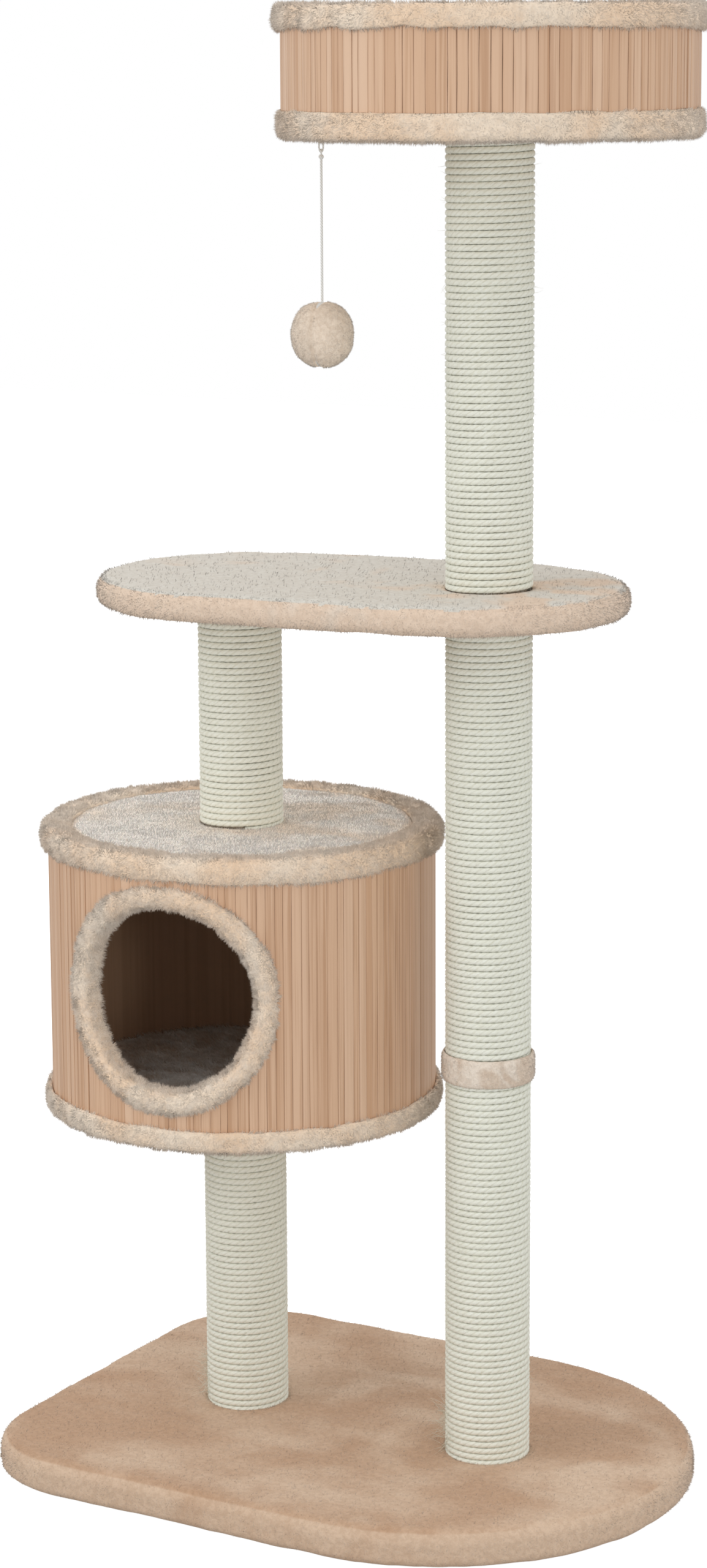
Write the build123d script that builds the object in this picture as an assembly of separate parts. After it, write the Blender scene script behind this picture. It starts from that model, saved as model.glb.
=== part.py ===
from build123d import *
import math
import os

# A cat tree. Two stacks of rope-wrapped posts stand on a plush-covered base. The short stack carries a round
# bamboo-clad house, and both stacks carry a racetrack-shaped platform. The tall stack ends in a round open
# bed, and a plush ball hangs on a string from the bed's underside.
# Millimetres. The origin is on the floor, under the middle of the whole tree. +X runs along the base towards
# the tall stack, -Y is the front, +Z is up.

# Posts: a paper tube wound with rope, with a plug and a threaded insert in each end.
ROPE_DIAMETER = 6.0
TUBE_RADIUS = 34.0
TUBE_WALL = 4.0
POST_RADIUS = TUBE_RADIUS + ROPE_DIAMETER
PLUG_LENGTH = 15.0
TALL_AXIS = (135.0, -11.0)
SHORT_AXIS = (-136.5, 0.5)
TALL_JOINT = 411.0
JOINT_BAND_HEIGHT = 27.0
JOINT_BAND_RADIUS = 41.2

# M8 furniture fasteners.
BOLT_RADIUS = 4.0
HOLE_RADIUS = 4.5
HEAD_RADIUS = 7.0
HEAD_HEIGHT = 5.0
SOCKET_WIDTH = 5.0
SOCKET_DEPTH = 3.0
WASHER_RADIUS = 9.0
WASHER_BORE = 4.3
WASHER_THICKNESS = 1.5
COUNTERBORE_RADIUS = 12.0
COUNTERBORE_DEPTH = HEAD_HEIGHT + WASHER_THICKNESS
BASE_COUNTERBORE_DEPTH = 9.0
THREAD_IN_POST = 14.0
INSERT_RADIUS = 6.0
INSERT_LENGTH = 13.0
INSERT_BORE = 4.05

# Under and over each post the plush is pressed down to this thickness, and it clears the rope by this much.
PRESSED_PLUSH = 2.0
POCKET_RADIUS = POST_RADIUS + 0.3

# Base: one board, wrapped in plush that folds under its edge, with a thin backing sheet over the rest.
BASE_LEFT = -312.5
BASE_RIGHT = 318.5
BASE_HALF_WIDTH = 242.0
BASE_CORNER_RADIUS = 107.0
BASE_HEIGHT = 35.0
BASE_PLUSH = 8.0
BASE_FOLD_THICKNESS = 3.0
BASE_FOLD_WIDTH = 35.0
BASE_TOP_ROUND = 14.0
BASE_BOTTOM_ROUND = 8.0
BACKING_THICKNESS = 1.5
STAPLE_COUNT = 28
STAPLE_WIDTH = 10.0
STAPLE_WIRE = 1.0
STAPLE_LEG = 8.0

# Platform: a racetrack, turned a little against the base, so that its ends lie past both stacks.
PLATFORM_LEFT_CENTRE = (-102.7, -22.7)
PLATFORM_RIGHT_CENTRE = (103.9, 5.0)
PLATFORM_RADIUS = 148.0
PLATFORM_BOTTOM = 827.0
PLATFORM_TOP = 855.0
PLATFORM_PLUSH = 6.0
PLATFORM_ROUND = 11.0

# The house and the bed share one drum: a thin hoop round two boards, with bamboo slats glued on.
BOARD_RADIUS = 177.5
HOOP_RADIUS = 181.5
BAMBOO_RADIUS = 184.5
BOARD_THICKNESS = 12.0

HOUSE_BOTTOM = 338.5
HOUSE_FLOOR = 344.0
HOUSE_ROOF_TOP = 605.0
HOUSE_PANEL_TOP = 611.3
HOUSE_TOP = 614.5
HOUSE_TRIM_RADIUS = 191.5
HOUSE_RIM_LOW = 588.5
HOUSE_EDGE_HIGH = 360.0
HOUSE_SEAM_RADIUS = 163.0
HOUSE_MAT_THICKNESS = 6.0

ENTRANCE_AZIMUTH = 8.4
ENTRANCE_HEIGHT = 480.0
ENTRANCE_CUT_RADIUS = 92.0
ENTRANCE_INNER_RADIUS = 84.0
ENTRANCE_OUTER_RADIUS = 108.0
ENTRANCE_LIP_RADIUS = 98.0
ENTRANCE_TRIM_FRONT = 191.5
ENTRANCE_TRIM_BACK = 172.5

BED_BOTTOM = 1257.0
BED_FLOOR = 1263.0
BED_HOOP_TOP = 1365.0
BED_TOP = 1371.0
BED_EDGE_RADIUS = 188.7
BED_EDGE_HIGH = 1279.6
BED_RIM_RADIUS = 193.0
BED_RIM_INNER_RADIUS = 168.0
BED_RIM_LOW = 1347.4
BED_LINING_INNER_RADIUS = 171.5
BED_LINING_TOP = 1345.0
BED_MAT_TOP = 1284.0

# Toy: a staple under the bed, a thread loop on it, a string knotted to the loop, and an egg-shaped ball.
TOY_PLACE = (6.1, -85.2)
STAPLE_CROWN_HEIGHT = 1251.5
TOY_STAPLE_HALF_WIDTH = 7.0
TOY_STAPLE_TOP = 1271.0
TOY_STAPLE_BEND = 1.6
TOY_WIRE_RADIUS = 0.8
LOOP_RADIUS = 5.0
LOOP_THREAD_RADIUS = 0.75
LOOP_DROP = 3.3
EYE_RADIUS = 2.0
STRING_RADIUS = 1.1
KNOT_RADIUS = 2.3
BALL_HEIGHT = 1083.0
BALL_RADIUS = 28.0
BALL_HALF_HEIGHT = 31.0
BALL_SKIN = 2.5
BALL_STRING_DEPTH = 12.0
BALL_SEAM_TURN = 9.0

BASE_STAND = BASE_HEIGHT - BASE_PLUSH + PRESSED_PLUSH
PLATFORM_BOARD_LOW = PLATFORM_BOTTOM + PLATFORM_PLUSH
PLATFORM_BOARD_HIGH = PLATFORM_TOP - PLATFORM_PLUSH
HOUSE_ROOF_LOW = HOUSE_ROOF_TOP - BOARD_THICKNESS

POSTS = {
    "tall_lower": (TALL_AXIS, BASE_STAND, TALL_JOINT),
    "tall_middle": (TALL_AXIS, TALL_JOINT, PLATFORM_BOARD_LOW - PRESSED_PLUSH),
    "tall_upper": (TALL_AXIS, PLATFORM_BOARD_HIGH + PRESSED_PLUSH, BED_FLOOR - PRESSED_PLUSH),
    "short_lower": (SHORT_AXIS, BASE_STAND, HOUSE_FLOOR - PRESSED_PLUSH),
    "short_upper": (SHORT_AXIS, HOUSE_ROOF_TOP + PRESSED_PLUSH, PLATFORM_BOARD_LOW - PRESSED_PLUSH),
}


def disc(radius, low, high, centre=(0.0, 0.0)):
    """A round plate between two heights."""
    plate = Cylinder(radius, high - low, align=(Align.CENTER, Align.CENTER, Align.MIN))
    return Pos(centre[0], centre[1], low) * plate


def ring(outer, inner, low, high, centre=(0.0, 0.0)):
    """A round plate with a round hole, or a tube."""
    return disc(outer, low, high, centre) - disc(inner, low - 1.0, high + 1.0, centre)


def turned(points, centre):
    """A solid of revolution about a post's axis, from (radius, height) points joined by straight lines."""
    outline = Plane.XZ * make_face(Polyline([(r, z) for r, z in points], close=True))
    return Pos(centre[0], centre[1], 0.0) * revolve(outline, axis=Axis.Z)


def base_outline(inset):
    """Seen from above: two round corners on the left, a half circle on the right."""
    half = BASE_HALF_WIDTH - inset
    left = BASE_LEFT + inset
    corner = BASE_CORNER_RADIUS - inset
    straight_end = BASE_RIGHT - BASE_HALF_WIDTH
    swing = corner * math.sqrt(0.5)
    edges = [
        Line((straight_end, half), (left + corner, half)),
        ThreePointArc(
            (left + corner, half), (left + corner - swing, half - corner + swing), (left, half - corner)
        ),
        Line((left, half - corner), (left, corner - half)),
        ThreePointArc(
            (left, corner - half), (left + corner - swing, corner - half - swing), (left + corner, -half)
        ),
        Line((left + corner, -half), (straight_end, -half)),
        ThreePointArc((straight_end, -half), (BASE_RIGHT - inset, 0.0), (straight_end, half)),
    ]
    return Wire(edges)


def base_slab(inset, low, high):
    return Pos(0.0, 0.0, low) * extrude(make_face(base_outline(inset)), high - low)


def platform_slab(inset, low, high):
    """A racetrack: two round ends and the straight slab between them."""
    radius = PLATFORM_RADIUS - inset
    dx = PLATFORM_RIGHT_CENTRE[0] - PLATFORM_LEFT_CENTRE[0]
    dy = PLATFORM_RIGHT_CENTRE[1] - PLATFORM_LEFT_CENTRE[1]
    middle = (PLATFORM_LEFT_CENTRE[0] + dx / 2, PLATFORM_LEFT_CENTRE[1] + dy / 2)
    track = SlotCenterToCenter(math.hypot(dx, dy), 2 * radius, rotation=math.degrees(math.atan2(dy, dx)))
    return Pos(middle[0], middle[1], low) * extrude(track, high - low)


def rounded(slab, low, high, low_round, high_round):
    """A slab with its top and bottom edges rounded over."""
    top = slab.edges().filter_by_position(Axis.Z, high - 0.01, high + 0.01)
    slab = fillet(top, high_round)
    bottom = slab.edges().filter_by_position(Axis.Z, low - 0.01, low + 0.01)
    return fillet(bottom, low_round)


def write(solid, node):
    export_step(solid, os.path.join("parts", node + ".step"))


def group(solids, node):
    """Like pieces of one node, each its own solid."""
    write(Compound(children=list(solids)), node)


# Posts


def post_pieces(name, place, low, high):
    plug_radius = TUBE_RADIUS - TUBE_WALL
    write(ring(TUBE_RADIUS, plug_radius, low, high, place), name + "_tube")
    write(ring(POST_RADIUS, TUBE_RADIUS, low, high, place), name + "_rope")
    write(ring(plug_radius, INSERT_RADIUS, low, low + PLUG_LENGTH, place), name + "_bottom_plug")
    write(ring(plug_radius, INSERT_RADIUS, high - PLUG_LENGTH, high, place), name + "_top_plug")


def post_inserts():
    inserts = []
    for place, low, high in POSTS.values():
        inserts.append(ring(INSERT_RADIUS, INSERT_BORE, low, low + INSERT_LENGTH, place))
        inserts.append(ring(INSERT_RADIUS, INSERT_BORE, high - INSERT_LENGTH, high, place))
    return inserts


def joint_band():
    """A strip of plush glued round the tall stack, over the joint of its two lower posts."""
    half = JOINT_BAND_HEIGHT / 2
    return ring(JOINT_BAND_RADIUS, POST_RADIUS, TALL_JOINT - half, TALL_JOINT + half, TALL_AXIS)


# Fasteners

# Each bolt: post axis, height of the face its washer bears on, height of its tip, +1 when its head is below.
BOLTS = [
    (TALL_AXIS, BASE_FOLD_THICKNESS + BASE_COUNTERBORE_DEPTH, BASE_STAND + THREAD_IN_POST, 1),
    (SHORT_AXIS, BASE_FOLD_THICKNESS + BASE_COUNTERBORE_DEPTH, BASE_STAND + THREAD_IN_POST, 1),
    (
        SHORT_AXIS,
        HOUSE_FLOOR + BOARD_THICKNESS - COUNTERBORE_DEPTH,
        HOUSE_FLOOR - PRESSED_PLUSH - THREAD_IN_POST,
        -1,
    ),
    (
        SHORT_AXIS,
        HOUSE_ROOF_LOW + COUNTERBORE_DEPTH,
        HOUSE_ROOF_TOP + PRESSED_PLUSH + THREAD_IN_POST,
        1,
    ),
    (
        SHORT_AXIS,
        PLATFORM_BOARD_HIGH - COUNTERBORE_DEPTH,
        PLATFORM_BOARD_LOW - PRESSED_PLUSH - THREAD_IN_POST,
        -1,
    ),
    (
        TALL_AXIS,
        BED_FLOOR + BOARD_THICKNESS - COUNTERBORE_DEPTH,
        BED_FLOOR - PRESSED_PLUSH - THREAD_IN_POST,
        -1,
    ),
]

# Each stud: the height where it starts and ends, both inside the tall stack.
STUDS = [
    (TALL_JOINT - THREAD_IN_POST, TALL_JOINT + THREAD_IN_POST),
    (
        PLATFORM_BOARD_LOW - PRESSED_PLUSH - THREAD_IN_POST,
        PLATFORM_BOARD_HIGH + PRESSED_PLUSH + THREAD_IN_POST,
    ),
]


def between(radius, one, other, place):
    return disc(radius, min(one, other), max(one, other), place)


def bolt(place, seat, tip, up):
    """A socket-head bolt whose washer bears on the seat."""
    head_inner = seat - up * WASHER_THICKNESS
    head_outer = head_inner - up * HEAD_HEIGHT
    body = between(BOLT_RADIUS, head_inner, tip, place) + between(HEAD_RADIUS, head_inner, head_outer, place)
    hexagon = extrude(RegularPolygon(SOCKET_WIDTH / 2, 6, major_radius=False), SOCKET_DEPTH)
    socket_low = min(head_outer, head_outer + up * SOCKET_DEPTH)
    return body - Pos(place[0], place[1], socket_low) * hexagon


def washer(place, seat, tip, up):
    outer = seat - up * WASHER_THICKNESS
    return ring(WASHER_RADIUS, WASHER_BORE, min(seat, outer), max(seat, outer), place)


def staples():
    """Wire staples that hold the folded plush to the underside of the base board."""
    path = base_outline(BASE_PLUSH + BASE_FOLD_WIDTH * 0.75)
    crown = Box(STAPLE_WIDTH, STAPLE_WIRE, STAPLE_WIRE, align=(Align.CENTER, Align.CENTER, Align.MIN))
    leg = Box(
        STAPLE_WIRE,
        STAPLE_WIRE,
        STAPLE_LEG + BASE_FOLD_THICKNESS - STAPLE_WIRE,
        align=(Align.CENTER, Align.CENTER, Align.MIN),
    )
    leg_place = (STAPLE_WIDTH - STAPLE_WIRE) / 2
    shape = crown + Pos(leg_place, 0.0, 0.0) * leg + Pos(-leg_place, 0.0, 0.0) * leg
    solids = []
    for step in range(STAPLE_COUNT):
        share = (step + 0.5) / STAPLE_COUNT
        spot = path.position_at(share)
        run = path.tangent_at(share)
        turn = math.degrees(math.atan2(run.Y, run.X))
        solids.append(Pos(spot.X, spot.Y, STAPLE_WIRE) * Rot(0.0, 0.0, turn) * shape)
    return solids


# Base


def base_board():
    low = BASE_FOLD_THICKNESS
    board = base_slab(BASE_PLUSH, low, BASE_HEIGHT - BASE_PLUSH)
    for place in (TALL_AXIS, SHORT_AXIS):
        board -= disc(HOLE_RADIUS, 0.0, BASE_HEIGHT, place)
        board -= disc(COUNTERBORE_RADIUS, low - 1.0, low + BASE_COUNTERBORE_DEPTH, place)
    return board


def base_cover():
    """Plush over the top and the edge, folded under the board; pressed flat under each post."""
    cover = rounded(
        base_slab(0.0, 0.0, BASE_HEIGHT), 0.0, BASE_HEIGHT, BASE_BOTTOM_ROUND, BASE_TOP_ROUND
    )
    cover -= base_slab(BASE_PLUSH, BASE_FOLD_THICKNESS, BASE_HEIGHT - BASE_PLUSH)
    cover -= base_slab(BASE_PLUSH + BASE_FOLD_WIDTH, -1.0, BASE_FOLD_THICKNESS)
    for place in (TALL_AXIS, SHORT_AXIS):
        cover -= disc(POCKET_RADIUS, BASE_STAND, BASE_HEIGHT + 1.0, place)
        cover -= disc(HOLE_RADIUS, BASE_HEIGHT - BASE_PLUSH - 1.0, BASE_HEIGHT, place)
    return cover


def base_backing():
    sheet = base_slab(
        BASE_PLUSH + BASE_FOLD_WIDTH, BASE_FOLD_THICKNESS - BACKING_THICKNESS, BASE_FOLD_THICKNESS
    )
    for place in (TALL_AXIS, SHORT_AXIS):
        sheet -= disc(COUNTERBORE_RADIUS, 0.0, BASE_HEIGHT, place)
    return sheet


# Platform


def platform_board():
    board = platform_slab(PLATFORM_PLUSH, PLATFORM_BOARD_LOW, PLATFORM_BOARD_HIGH)
    for place in (TALL_AXIS, SHORT_AXIS):
        board -= disc(HOLE_RADIUS, PLATFORM_BOTTOM, PLATFORM_TOP, place)
    board -= disc(COUNTERBORE_RADIUS, PLATFORM_BOARD_HIGH - COUNTERBORE_DEPTH, PLATFORM_TOP, SHORT_AXIS)
    return board


def platform_cover():
    slab = platform_slab(0.0, PLATFORM_BOTTOM, PLATFORM_TOP)
    cover = rounded(slab, PLATFORM_BOTTOM, PLATFORM_TOP, PLATFORM_ROUND, PLATFORM_ROUND)
    cover -= platform_slab(PLATFORM_PLUSH, PLATFORM_BOARD_LOW, PLATFORM_BOARD_HIGH)
    below = PLATFORM_BOARD_LOW - PRESSED_PLUSH
    above = PLATFORM_BOARD_HIGH + PRESSED_PLUSH
    for place in (TALL_AXIS, SHORT_AXIS):
        cover -= disc(POCKET_RADIUS, PLATFORM_BOTTOM - 1.0, below, place)
        cover -= disc(HOLE_RADIUS, PLATFORM_BOTTOM, PLATFORM_BOARD_LOW + 1.0, place)
    cover -= disc(POCKET_RADIUS, above, PLATFORM_TOP + 1.0, TALL_AXIS)
    cover -= disc(HOLE_RADIUS, PLATFORM_BOARD_HIGH - 1.0, PLATFORM_TOP, TALL_AXIS)
    return cover


# House


def entrance_cut(unrolled_radius, wall_radius):
    """A bar through the front wall, round on the wall once the wall is laid out flat."""
    half_width = wall_radius * math.sin(unrolled_radius / wall_radius)
    bar = extrude(Ellipse(half_width, unrolled_radius), BAMBOO_RADIUS * 2)
    front = Pos(0.0, 0.0, ENTRANCE_HEIGHT) * Rot(90.0, 0.0, 0.0) * bar
    return Pos(SHORT_AXIS[0], SHORT_AXIS[1], 0.0) * Rot(0.0, 0.0, ENTRANCE_AZIMUTH) * front


def house_floor_board():
    top = HOUSE_FLOOR + BOARD_THICKNESS
    board = ring(BOARD_RADIUS, HOLE_RADIUS, HOUSE_FLOOR, top, SHORT_AXIS)
    return board - disc(COUNTERBORE_RADIUS, top - COUNTERBORE_DEPTH, top + 1.0, SHORT_AXIS)


def house_roof_board():
    board = ring(BOARD_RADIUS, HOLE_RADIUS, HOUSE_ROOF_LOW, HOUSE_ROOF_TOP, SHORT_AXIS)
    return board - disc(
        COUNTERBORE_RADIUS, HOUSE_ROOF_LOW - 1.0, HOUSE_ROOF_LOW + COUNTERBORE_DEPTH, SHORT_AXIS
    )


def house_wall(outer, inner):
    wall = ring(outer, inner, HOUSE_FLOOR, HOUSE_ROOF_TOP, SHORT_AXIS)
    return wall - entrance_cut(ENTRANCE_CUT_RADIUS, BAMBOO_RADIUS)


def house_bottom_cover():
    """Plush under the floor, turned up over the lower edge of the bamboo."""
    chamfer = 4.0
    cover = turned(
        [
            (HOLE_RADIUS, HOUSE_FLOOR),
            (HOLE_RADIUS, HOUSE_FLOOR - PRESSED_PLUSH),
            (POCKET_RADIUS, HOUSE_FLOOR - PRESSED_PLUSH),
            (POCKET_RADIUS, HOUSE_BOTTOM),
            (HOUSE_TRIM_RADIUS - chamfer, HOUSE_BOTTOM),
            (HOUSE_TRIM_RADIUS, HOUSE_BOTTOM + chamfer),
            (HOUSE_TRIM_RADIUS, HOUSE_EDGE_HIGH - chamfer / 2),
            (HOUSE_TRIM_RADIUS - chamfer / 2, HOUSE_EDGE_HIGH),
            (BAMBOO_RADIUS, HOUSE_EDGE_HIGH),
            (BAMBOO_RADIUS, HOUSE_FLOOR),
        ],
        SHORT_AXIS,
    )
    return cover


def house_rim_trim():
    """A plush strip over the top edge, from a seam on the roof down over the bamboo."""
    chamfer = 6.0
    return turned(
        [
            (HOUSE_SEAM_RADIUS, HOUSE_ROOF_TOP),
            (BAMBOO_RADIUS, HOUSE_ROOF_TOP),
            (BAMBOO_RADIUS, HOUSE_RIM_LOW),
            (HOUSE_TRIM_RADIUS, HOUSE_RIM_LOW),
            (HOUSE_TRIM_RADIUS, HOUSE_TOP - chamfer),
            (HOUSE_TRIM_RADIUS - chamfer, HOUSE_TOP),
            (HOUSE_SEAM_RADIUS + chamfer, HOUSE_TOP),
            (HOUSE_SEAM_RADIUS, HOUSE_PANEL_TOP),
        ],
        SHORT_AXIS,
    )


def house_roof_panel():
    panel = ring(HOUSE_SEAM_RADIUS, HOLE_RADIUS, HOUSE_ROOF_TOP, HOUSE_PANEL_TOP, SHORT_AXIS)
    return panel - disc(POCKET_RADIUS, HOUSE_ROOF_TOP + PRESSED_PLUSH, HOUSE_TOP, SHORT_AXIS)


def entrance_trim():
    """A plush ring over the edge of the entrance: a face outside, a throat, and a narrower face inside."""
    low, high = HOUSE_FLOOR, HOUSE_ROOF_TOP
    hole = entrance_cut(ENTRANCE_INNER_RADIUS, BAMBOO_RADIUS)
    outside = ring(ENTRANCE_TRIM_FRONT, BAMBOO_RADIUS, low, high, SHORT_AXIS)
    outside &= entrance_cut(ENTRANCE_OUTER_RADIUS, BAMBOO_RADIUS)
    throat = ring(BAMBOO_RADIUS, BOARD_RADIUS, low, high, SHORT_AXIS)
    throat &= entrance_cut(ENTRANCE_CUT_RADIUS, BAMBOO_RADIUS)
    inside = ring(BOARD_RADIUS, ENTRANCE_TRIM_BACK, low, high, SHORT_AXIS)
    inside &= entrance_cut(ENTRANCE_LIP_RADIUS, BAMBOO_RADIUS)
    return outside + throat + inside - hole


def house_floor_mat():
    low = HOUSE_FLOOR + BOARD_THICKNESS
    return disc(BOARD_RADIUS, low, low + HOUSE_MAT_THICKNESS, SHORT_AXIS)


# Bed


def bed_floor_board():
    top = BED_FLOOR + BOARD_THICKNESS
    board = ring(BOARD_RADIUS, HOLE_RADIUS, BED_FLOOR, top, TALL_AXIS)
    return board - disc(COUNTERBORE_RADIUS, top - COUNTERBORE_DEPTH, top + 1.0, TALL_AXIS)


def bed_bottom_cover():
    chamfer = 3.0
    return turned(
        [
            (HOLE_RADIUS, BED_FLOOR),
            (HOLE_RADIUS, BED_FLOOR - PRESSED_PLUSH),
            (POCKET_RADIUS, BED_FLOOR - PRESSED_PLUSH),
            (POCKET_RADIUS, BED_BOTTOM),
            (BED_EDGE_RADIUS - chamfer, BED_BOTTOM),
            (BED_EDGE_RADIUS, BED_BOTTOM + chamfer),
            (BED_EDGE_RADIUS, BED_EDGE_HIGH),
            (BAMBOO_RADIUS, BED_EDGE_HIGH),
            (BAMBOO_RADIUS, BED_FLOOR),
        ],
        TALL_AXIS,
    )


def bed_rim_trim():
    """A plush strip over the hoop's top edge, outside down over the bamboo and inside down to the lining."""
    chamfer = 5.0
    return turned(
        [
            (BOARD_RADIUS, BED_LINING_TOP),
            (BOARD_RADIUS, BED_HOOP_TOP),
            (BAMBOO_RADIUS, BED_HOOP_TOP),
            (BAMBOO_RADIUS, BED_RIM_LOW),
            (BED_RIM_RADIUS, BED_RIM_LOW),
            (BED_RIM_RADIUS, BED_TOP - chamfer),
            (BED_RIM_RADIUS - chamfer, BED_TOP),
            (BED_RIM_INNER_RADIUS + chamfer, BED_TOP),
            (BED_RIM_INNER_RADIUS, BED_TOP - chamfer),
            (BED_RIM_INNER_RADIUS, BED_LINING_TOP),
        ],
        TALL_AXIS,
    )


def bed_floor_mat():
    return disc(BED_LINING_INNER_RADIUS, BED_FLOOR + BOARD_THICKNESS, BED_MAT_TOP, TALL_AXIS)


# Toy

# The toy hangs off-centre. Its loop swings towards and away from the post about the staple's crown.
OUTWARD = math.atan2(TOY_PLACE[1] - TALL_AXIS[1], TOY_PLACE[0] - TALL_AXIS[0])
LOOP_CENTRE = STAPLE_CROWN_HEIGHT - LOOP_DROP
LOOP_LOW = LOOP_CENTRE - LOOP_RADIUS
KNOT_HEIGHT = LOOP_LOW - EYE_RADIUS - KNOT_RADIUS
BALL_TOP = BALL_HEIGHT + BALL_HALF_HEIGHT
STRING_LOW = BALL_TOP - BALL_STRING_DEPTH


def toy_frame(solid):
    """Places a solid whose X axis is outward from the tall stack, at the toy's place."""
    return Pos(TOY_PLACE[0], TOY_PLACE[1], 0.0) * Rot(0.0, 0.0, math.degrees(OUTWARD)) * solid


def toy_staple():
    """A wire staple driven up into the bed's floor board; its crown runs round the stack."""
    half = TOY_STAPLE_HALF_WIDTH
    corners = [
        (0.0, -half, TOY_STAPLE_TOP),
        (0.0, -half, STAPLE_CROWN_HEIGHT),
        (0.0, half, STAPLE_CROWN_HEIGHT),
        (0.0, half, TOY_STAPLE_TOP),
    ]
    path = FilletPolyline(*corners, radius=TOY_STAPLE_BEND)
    section = Pos(0.0, -half, TOY_STAPLE_TOP) * Circle(TOY_WIRE_RADIUS)
    return toy_frame(sweep(section, path=path))


def staple_holes():
    half = TOY_STAPLE_HALF_WIDTH
    holes = [disc(TOY_WIRE_RADIUS, BED_BOTTOM - 1.0, TOY_STAPLE_TOP, (0.0, side)) for side in (-half, half)]
    return toy_frame(holes[0] + holes[1])


def toy_loop():
    thread = Pos(0.0, 0.0, LOOP_CENTRE) * Rot(90.0, 0.0, 0.0) * Torus(LOOP_RADIUS, LOOP_THREAD_RADIUS)
    return toy_frame(thread)


def toy_string():
    return disc(STRING_RADIUS, STRING_LOW, KNOT_HEIGHT, TOY_PLACE)


def toy_knot():
    """The string's own eye round the bottom of the loop, and the knot that closes it."""
    eye = Pos(0.0, 0.0, LOOP_LOW) * Rot(0.0, 90.0, 0.0) * Torus(EYE_RADIUS, TOY_WIRE_RADIUS)
    knot = Pos(0.0, 0.0, KNOT_HEIGHT) * Sphere(KNOT_RADIUS)
    return toy_frame(eye + knot) - toy_string()


def egg(shrink):
    """The ball is a little taller than it is wide."""
    radius = BALL_RADIUS - shrink
    half = BALL_HALF_HEIGHT - shrink
    half_plane = Rectangle(radius * 2, half * 3, align=(Align.MIN, Align.CENTER))
    outline = Ellipse(radius, half) & half_plane
    shape = revolve(Plane.XZ * outline, axis=Axis.Z)
    return Pos(TOY_PLACE[0], TOY_PLACE[1], BALL_HEIGHT) * shape


def ball_skin_half(side):
    """One of the two sewn halves; the seam runs over the top, a little left of the ball's front."""
    shell = egg(0.0) - egg(BALL_SKIN) - toy_string()
    reach = BALL_HALF_HEIGHT * 2
    block = Box(reach, reach, reach, align=(side, Align.CENTER, Align.CENTER))
    return shell & Pos(TOY_PLACE[0], TOY_PLACE[1], BALL_HEIGHT) * Rot(0.0, 0.0, BALL_SEAM_TURN) * block


def main():
    os.makedirs("parts", exist_ok=True)
    for name, (place, low, high) in POSTS.items():
        post_pieces(name, place, low, high)
    group(post_inserts(), "threaded_inserts")
    group([bolt(*spec) for spec in BOLTS], "post_bolts")
    group([washer(*spec) for spec in BOLTS], "post_washers")
    group([disc(BOLT_RADIUS, low, high, TALL_AXIS) for low, high in STUDS], "joining_studs")
    write(joint_band(), "joint_band")

    write(base_board(), "base_board")
    write(base_cover(), "base_cover")
    write(base_backing(), "base_backing")
    group(staples(), "base_staples")
    write(platform_board(), "platform_board")
    write(platform_cover(), "platform_cover")

    write(house_floor_board(), "house_floor_board")
    write(house_roof_board(), "house_roof_board")
    write(house_wall(HOOP_RADIUS, BOARD_RADIUS), "house_hoop")
    write(house_wall(BAMBOO_RADIUS, HOOP_RADIUS), "house_bamboo")
    write(house_bottom_cover(), "house_bottom_cover")
    write(house_rim_trim(), "house_rim_trim")
    write(house_roof_panel(), "house_roof_panel")
    write(entrance_trim(), "entrance_trim")
    write(house_floor_mat(), "house_floor_mat")

    write(bed_floor_board() - staple_holes(), "bed_floor_board")
    write(ring(HOOP_RADIUS, BOARD_RADIUS, BED_FLOOR, BED_HOOP_TOP, TALL_AXIS), "bed_hoop")
    write(ring(BAMBOO_RADIUS, HOOP_RADIUS, BED_FLOOR, BED_HOOP_TOP, TALL_AXIS), "bed_bamboo")
    write(bed_bottom_cover() - staple_holes(), "bed_bottom_cover")
    write(bed_rim_trim(), "bed_rim_trim")
    write(
        ring(BOARD_RADIUS, BED_LINING_INNER_RADIUS, BED_FLOOR + BOARD_THICKNESS, BED_LINING_TOP, TALL_AXIS),
        "bed_wall_lining",
    )
    write(bed_floor_mat(), "bed_floor_mat")

    write(toy_staple(), "toy_staple")
    write(toy_loop(), "toy_loop")
    write(toy_knot(), "toy_knot")
    write(toy_string(), "toy_string")
    write(egg(BALL_SKIN) - toy_string(), "toy_ball_filling")
    write(ball_skin_half(Align.MAX), "toy_ball_left_half")
    write(ball_skin_half(Align.MIN), "toy_ball_right_half")


main()
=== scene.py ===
import math

import bpy
import numpy as np
from mathutils import Matrix, Vector


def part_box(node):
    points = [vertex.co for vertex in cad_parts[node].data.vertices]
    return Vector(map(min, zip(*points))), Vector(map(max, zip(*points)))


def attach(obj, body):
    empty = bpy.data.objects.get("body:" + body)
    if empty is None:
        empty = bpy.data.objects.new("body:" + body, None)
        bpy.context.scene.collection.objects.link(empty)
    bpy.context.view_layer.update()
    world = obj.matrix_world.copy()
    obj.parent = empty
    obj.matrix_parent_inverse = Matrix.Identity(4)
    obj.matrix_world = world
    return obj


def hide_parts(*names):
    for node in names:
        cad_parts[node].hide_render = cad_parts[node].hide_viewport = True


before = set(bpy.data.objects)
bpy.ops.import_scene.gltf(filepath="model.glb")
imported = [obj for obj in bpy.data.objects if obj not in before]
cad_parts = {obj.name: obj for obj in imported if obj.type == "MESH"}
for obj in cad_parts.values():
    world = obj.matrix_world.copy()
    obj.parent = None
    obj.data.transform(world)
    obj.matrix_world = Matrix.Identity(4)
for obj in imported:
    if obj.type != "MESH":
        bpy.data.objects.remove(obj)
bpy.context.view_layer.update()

MM = 0.001

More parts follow.
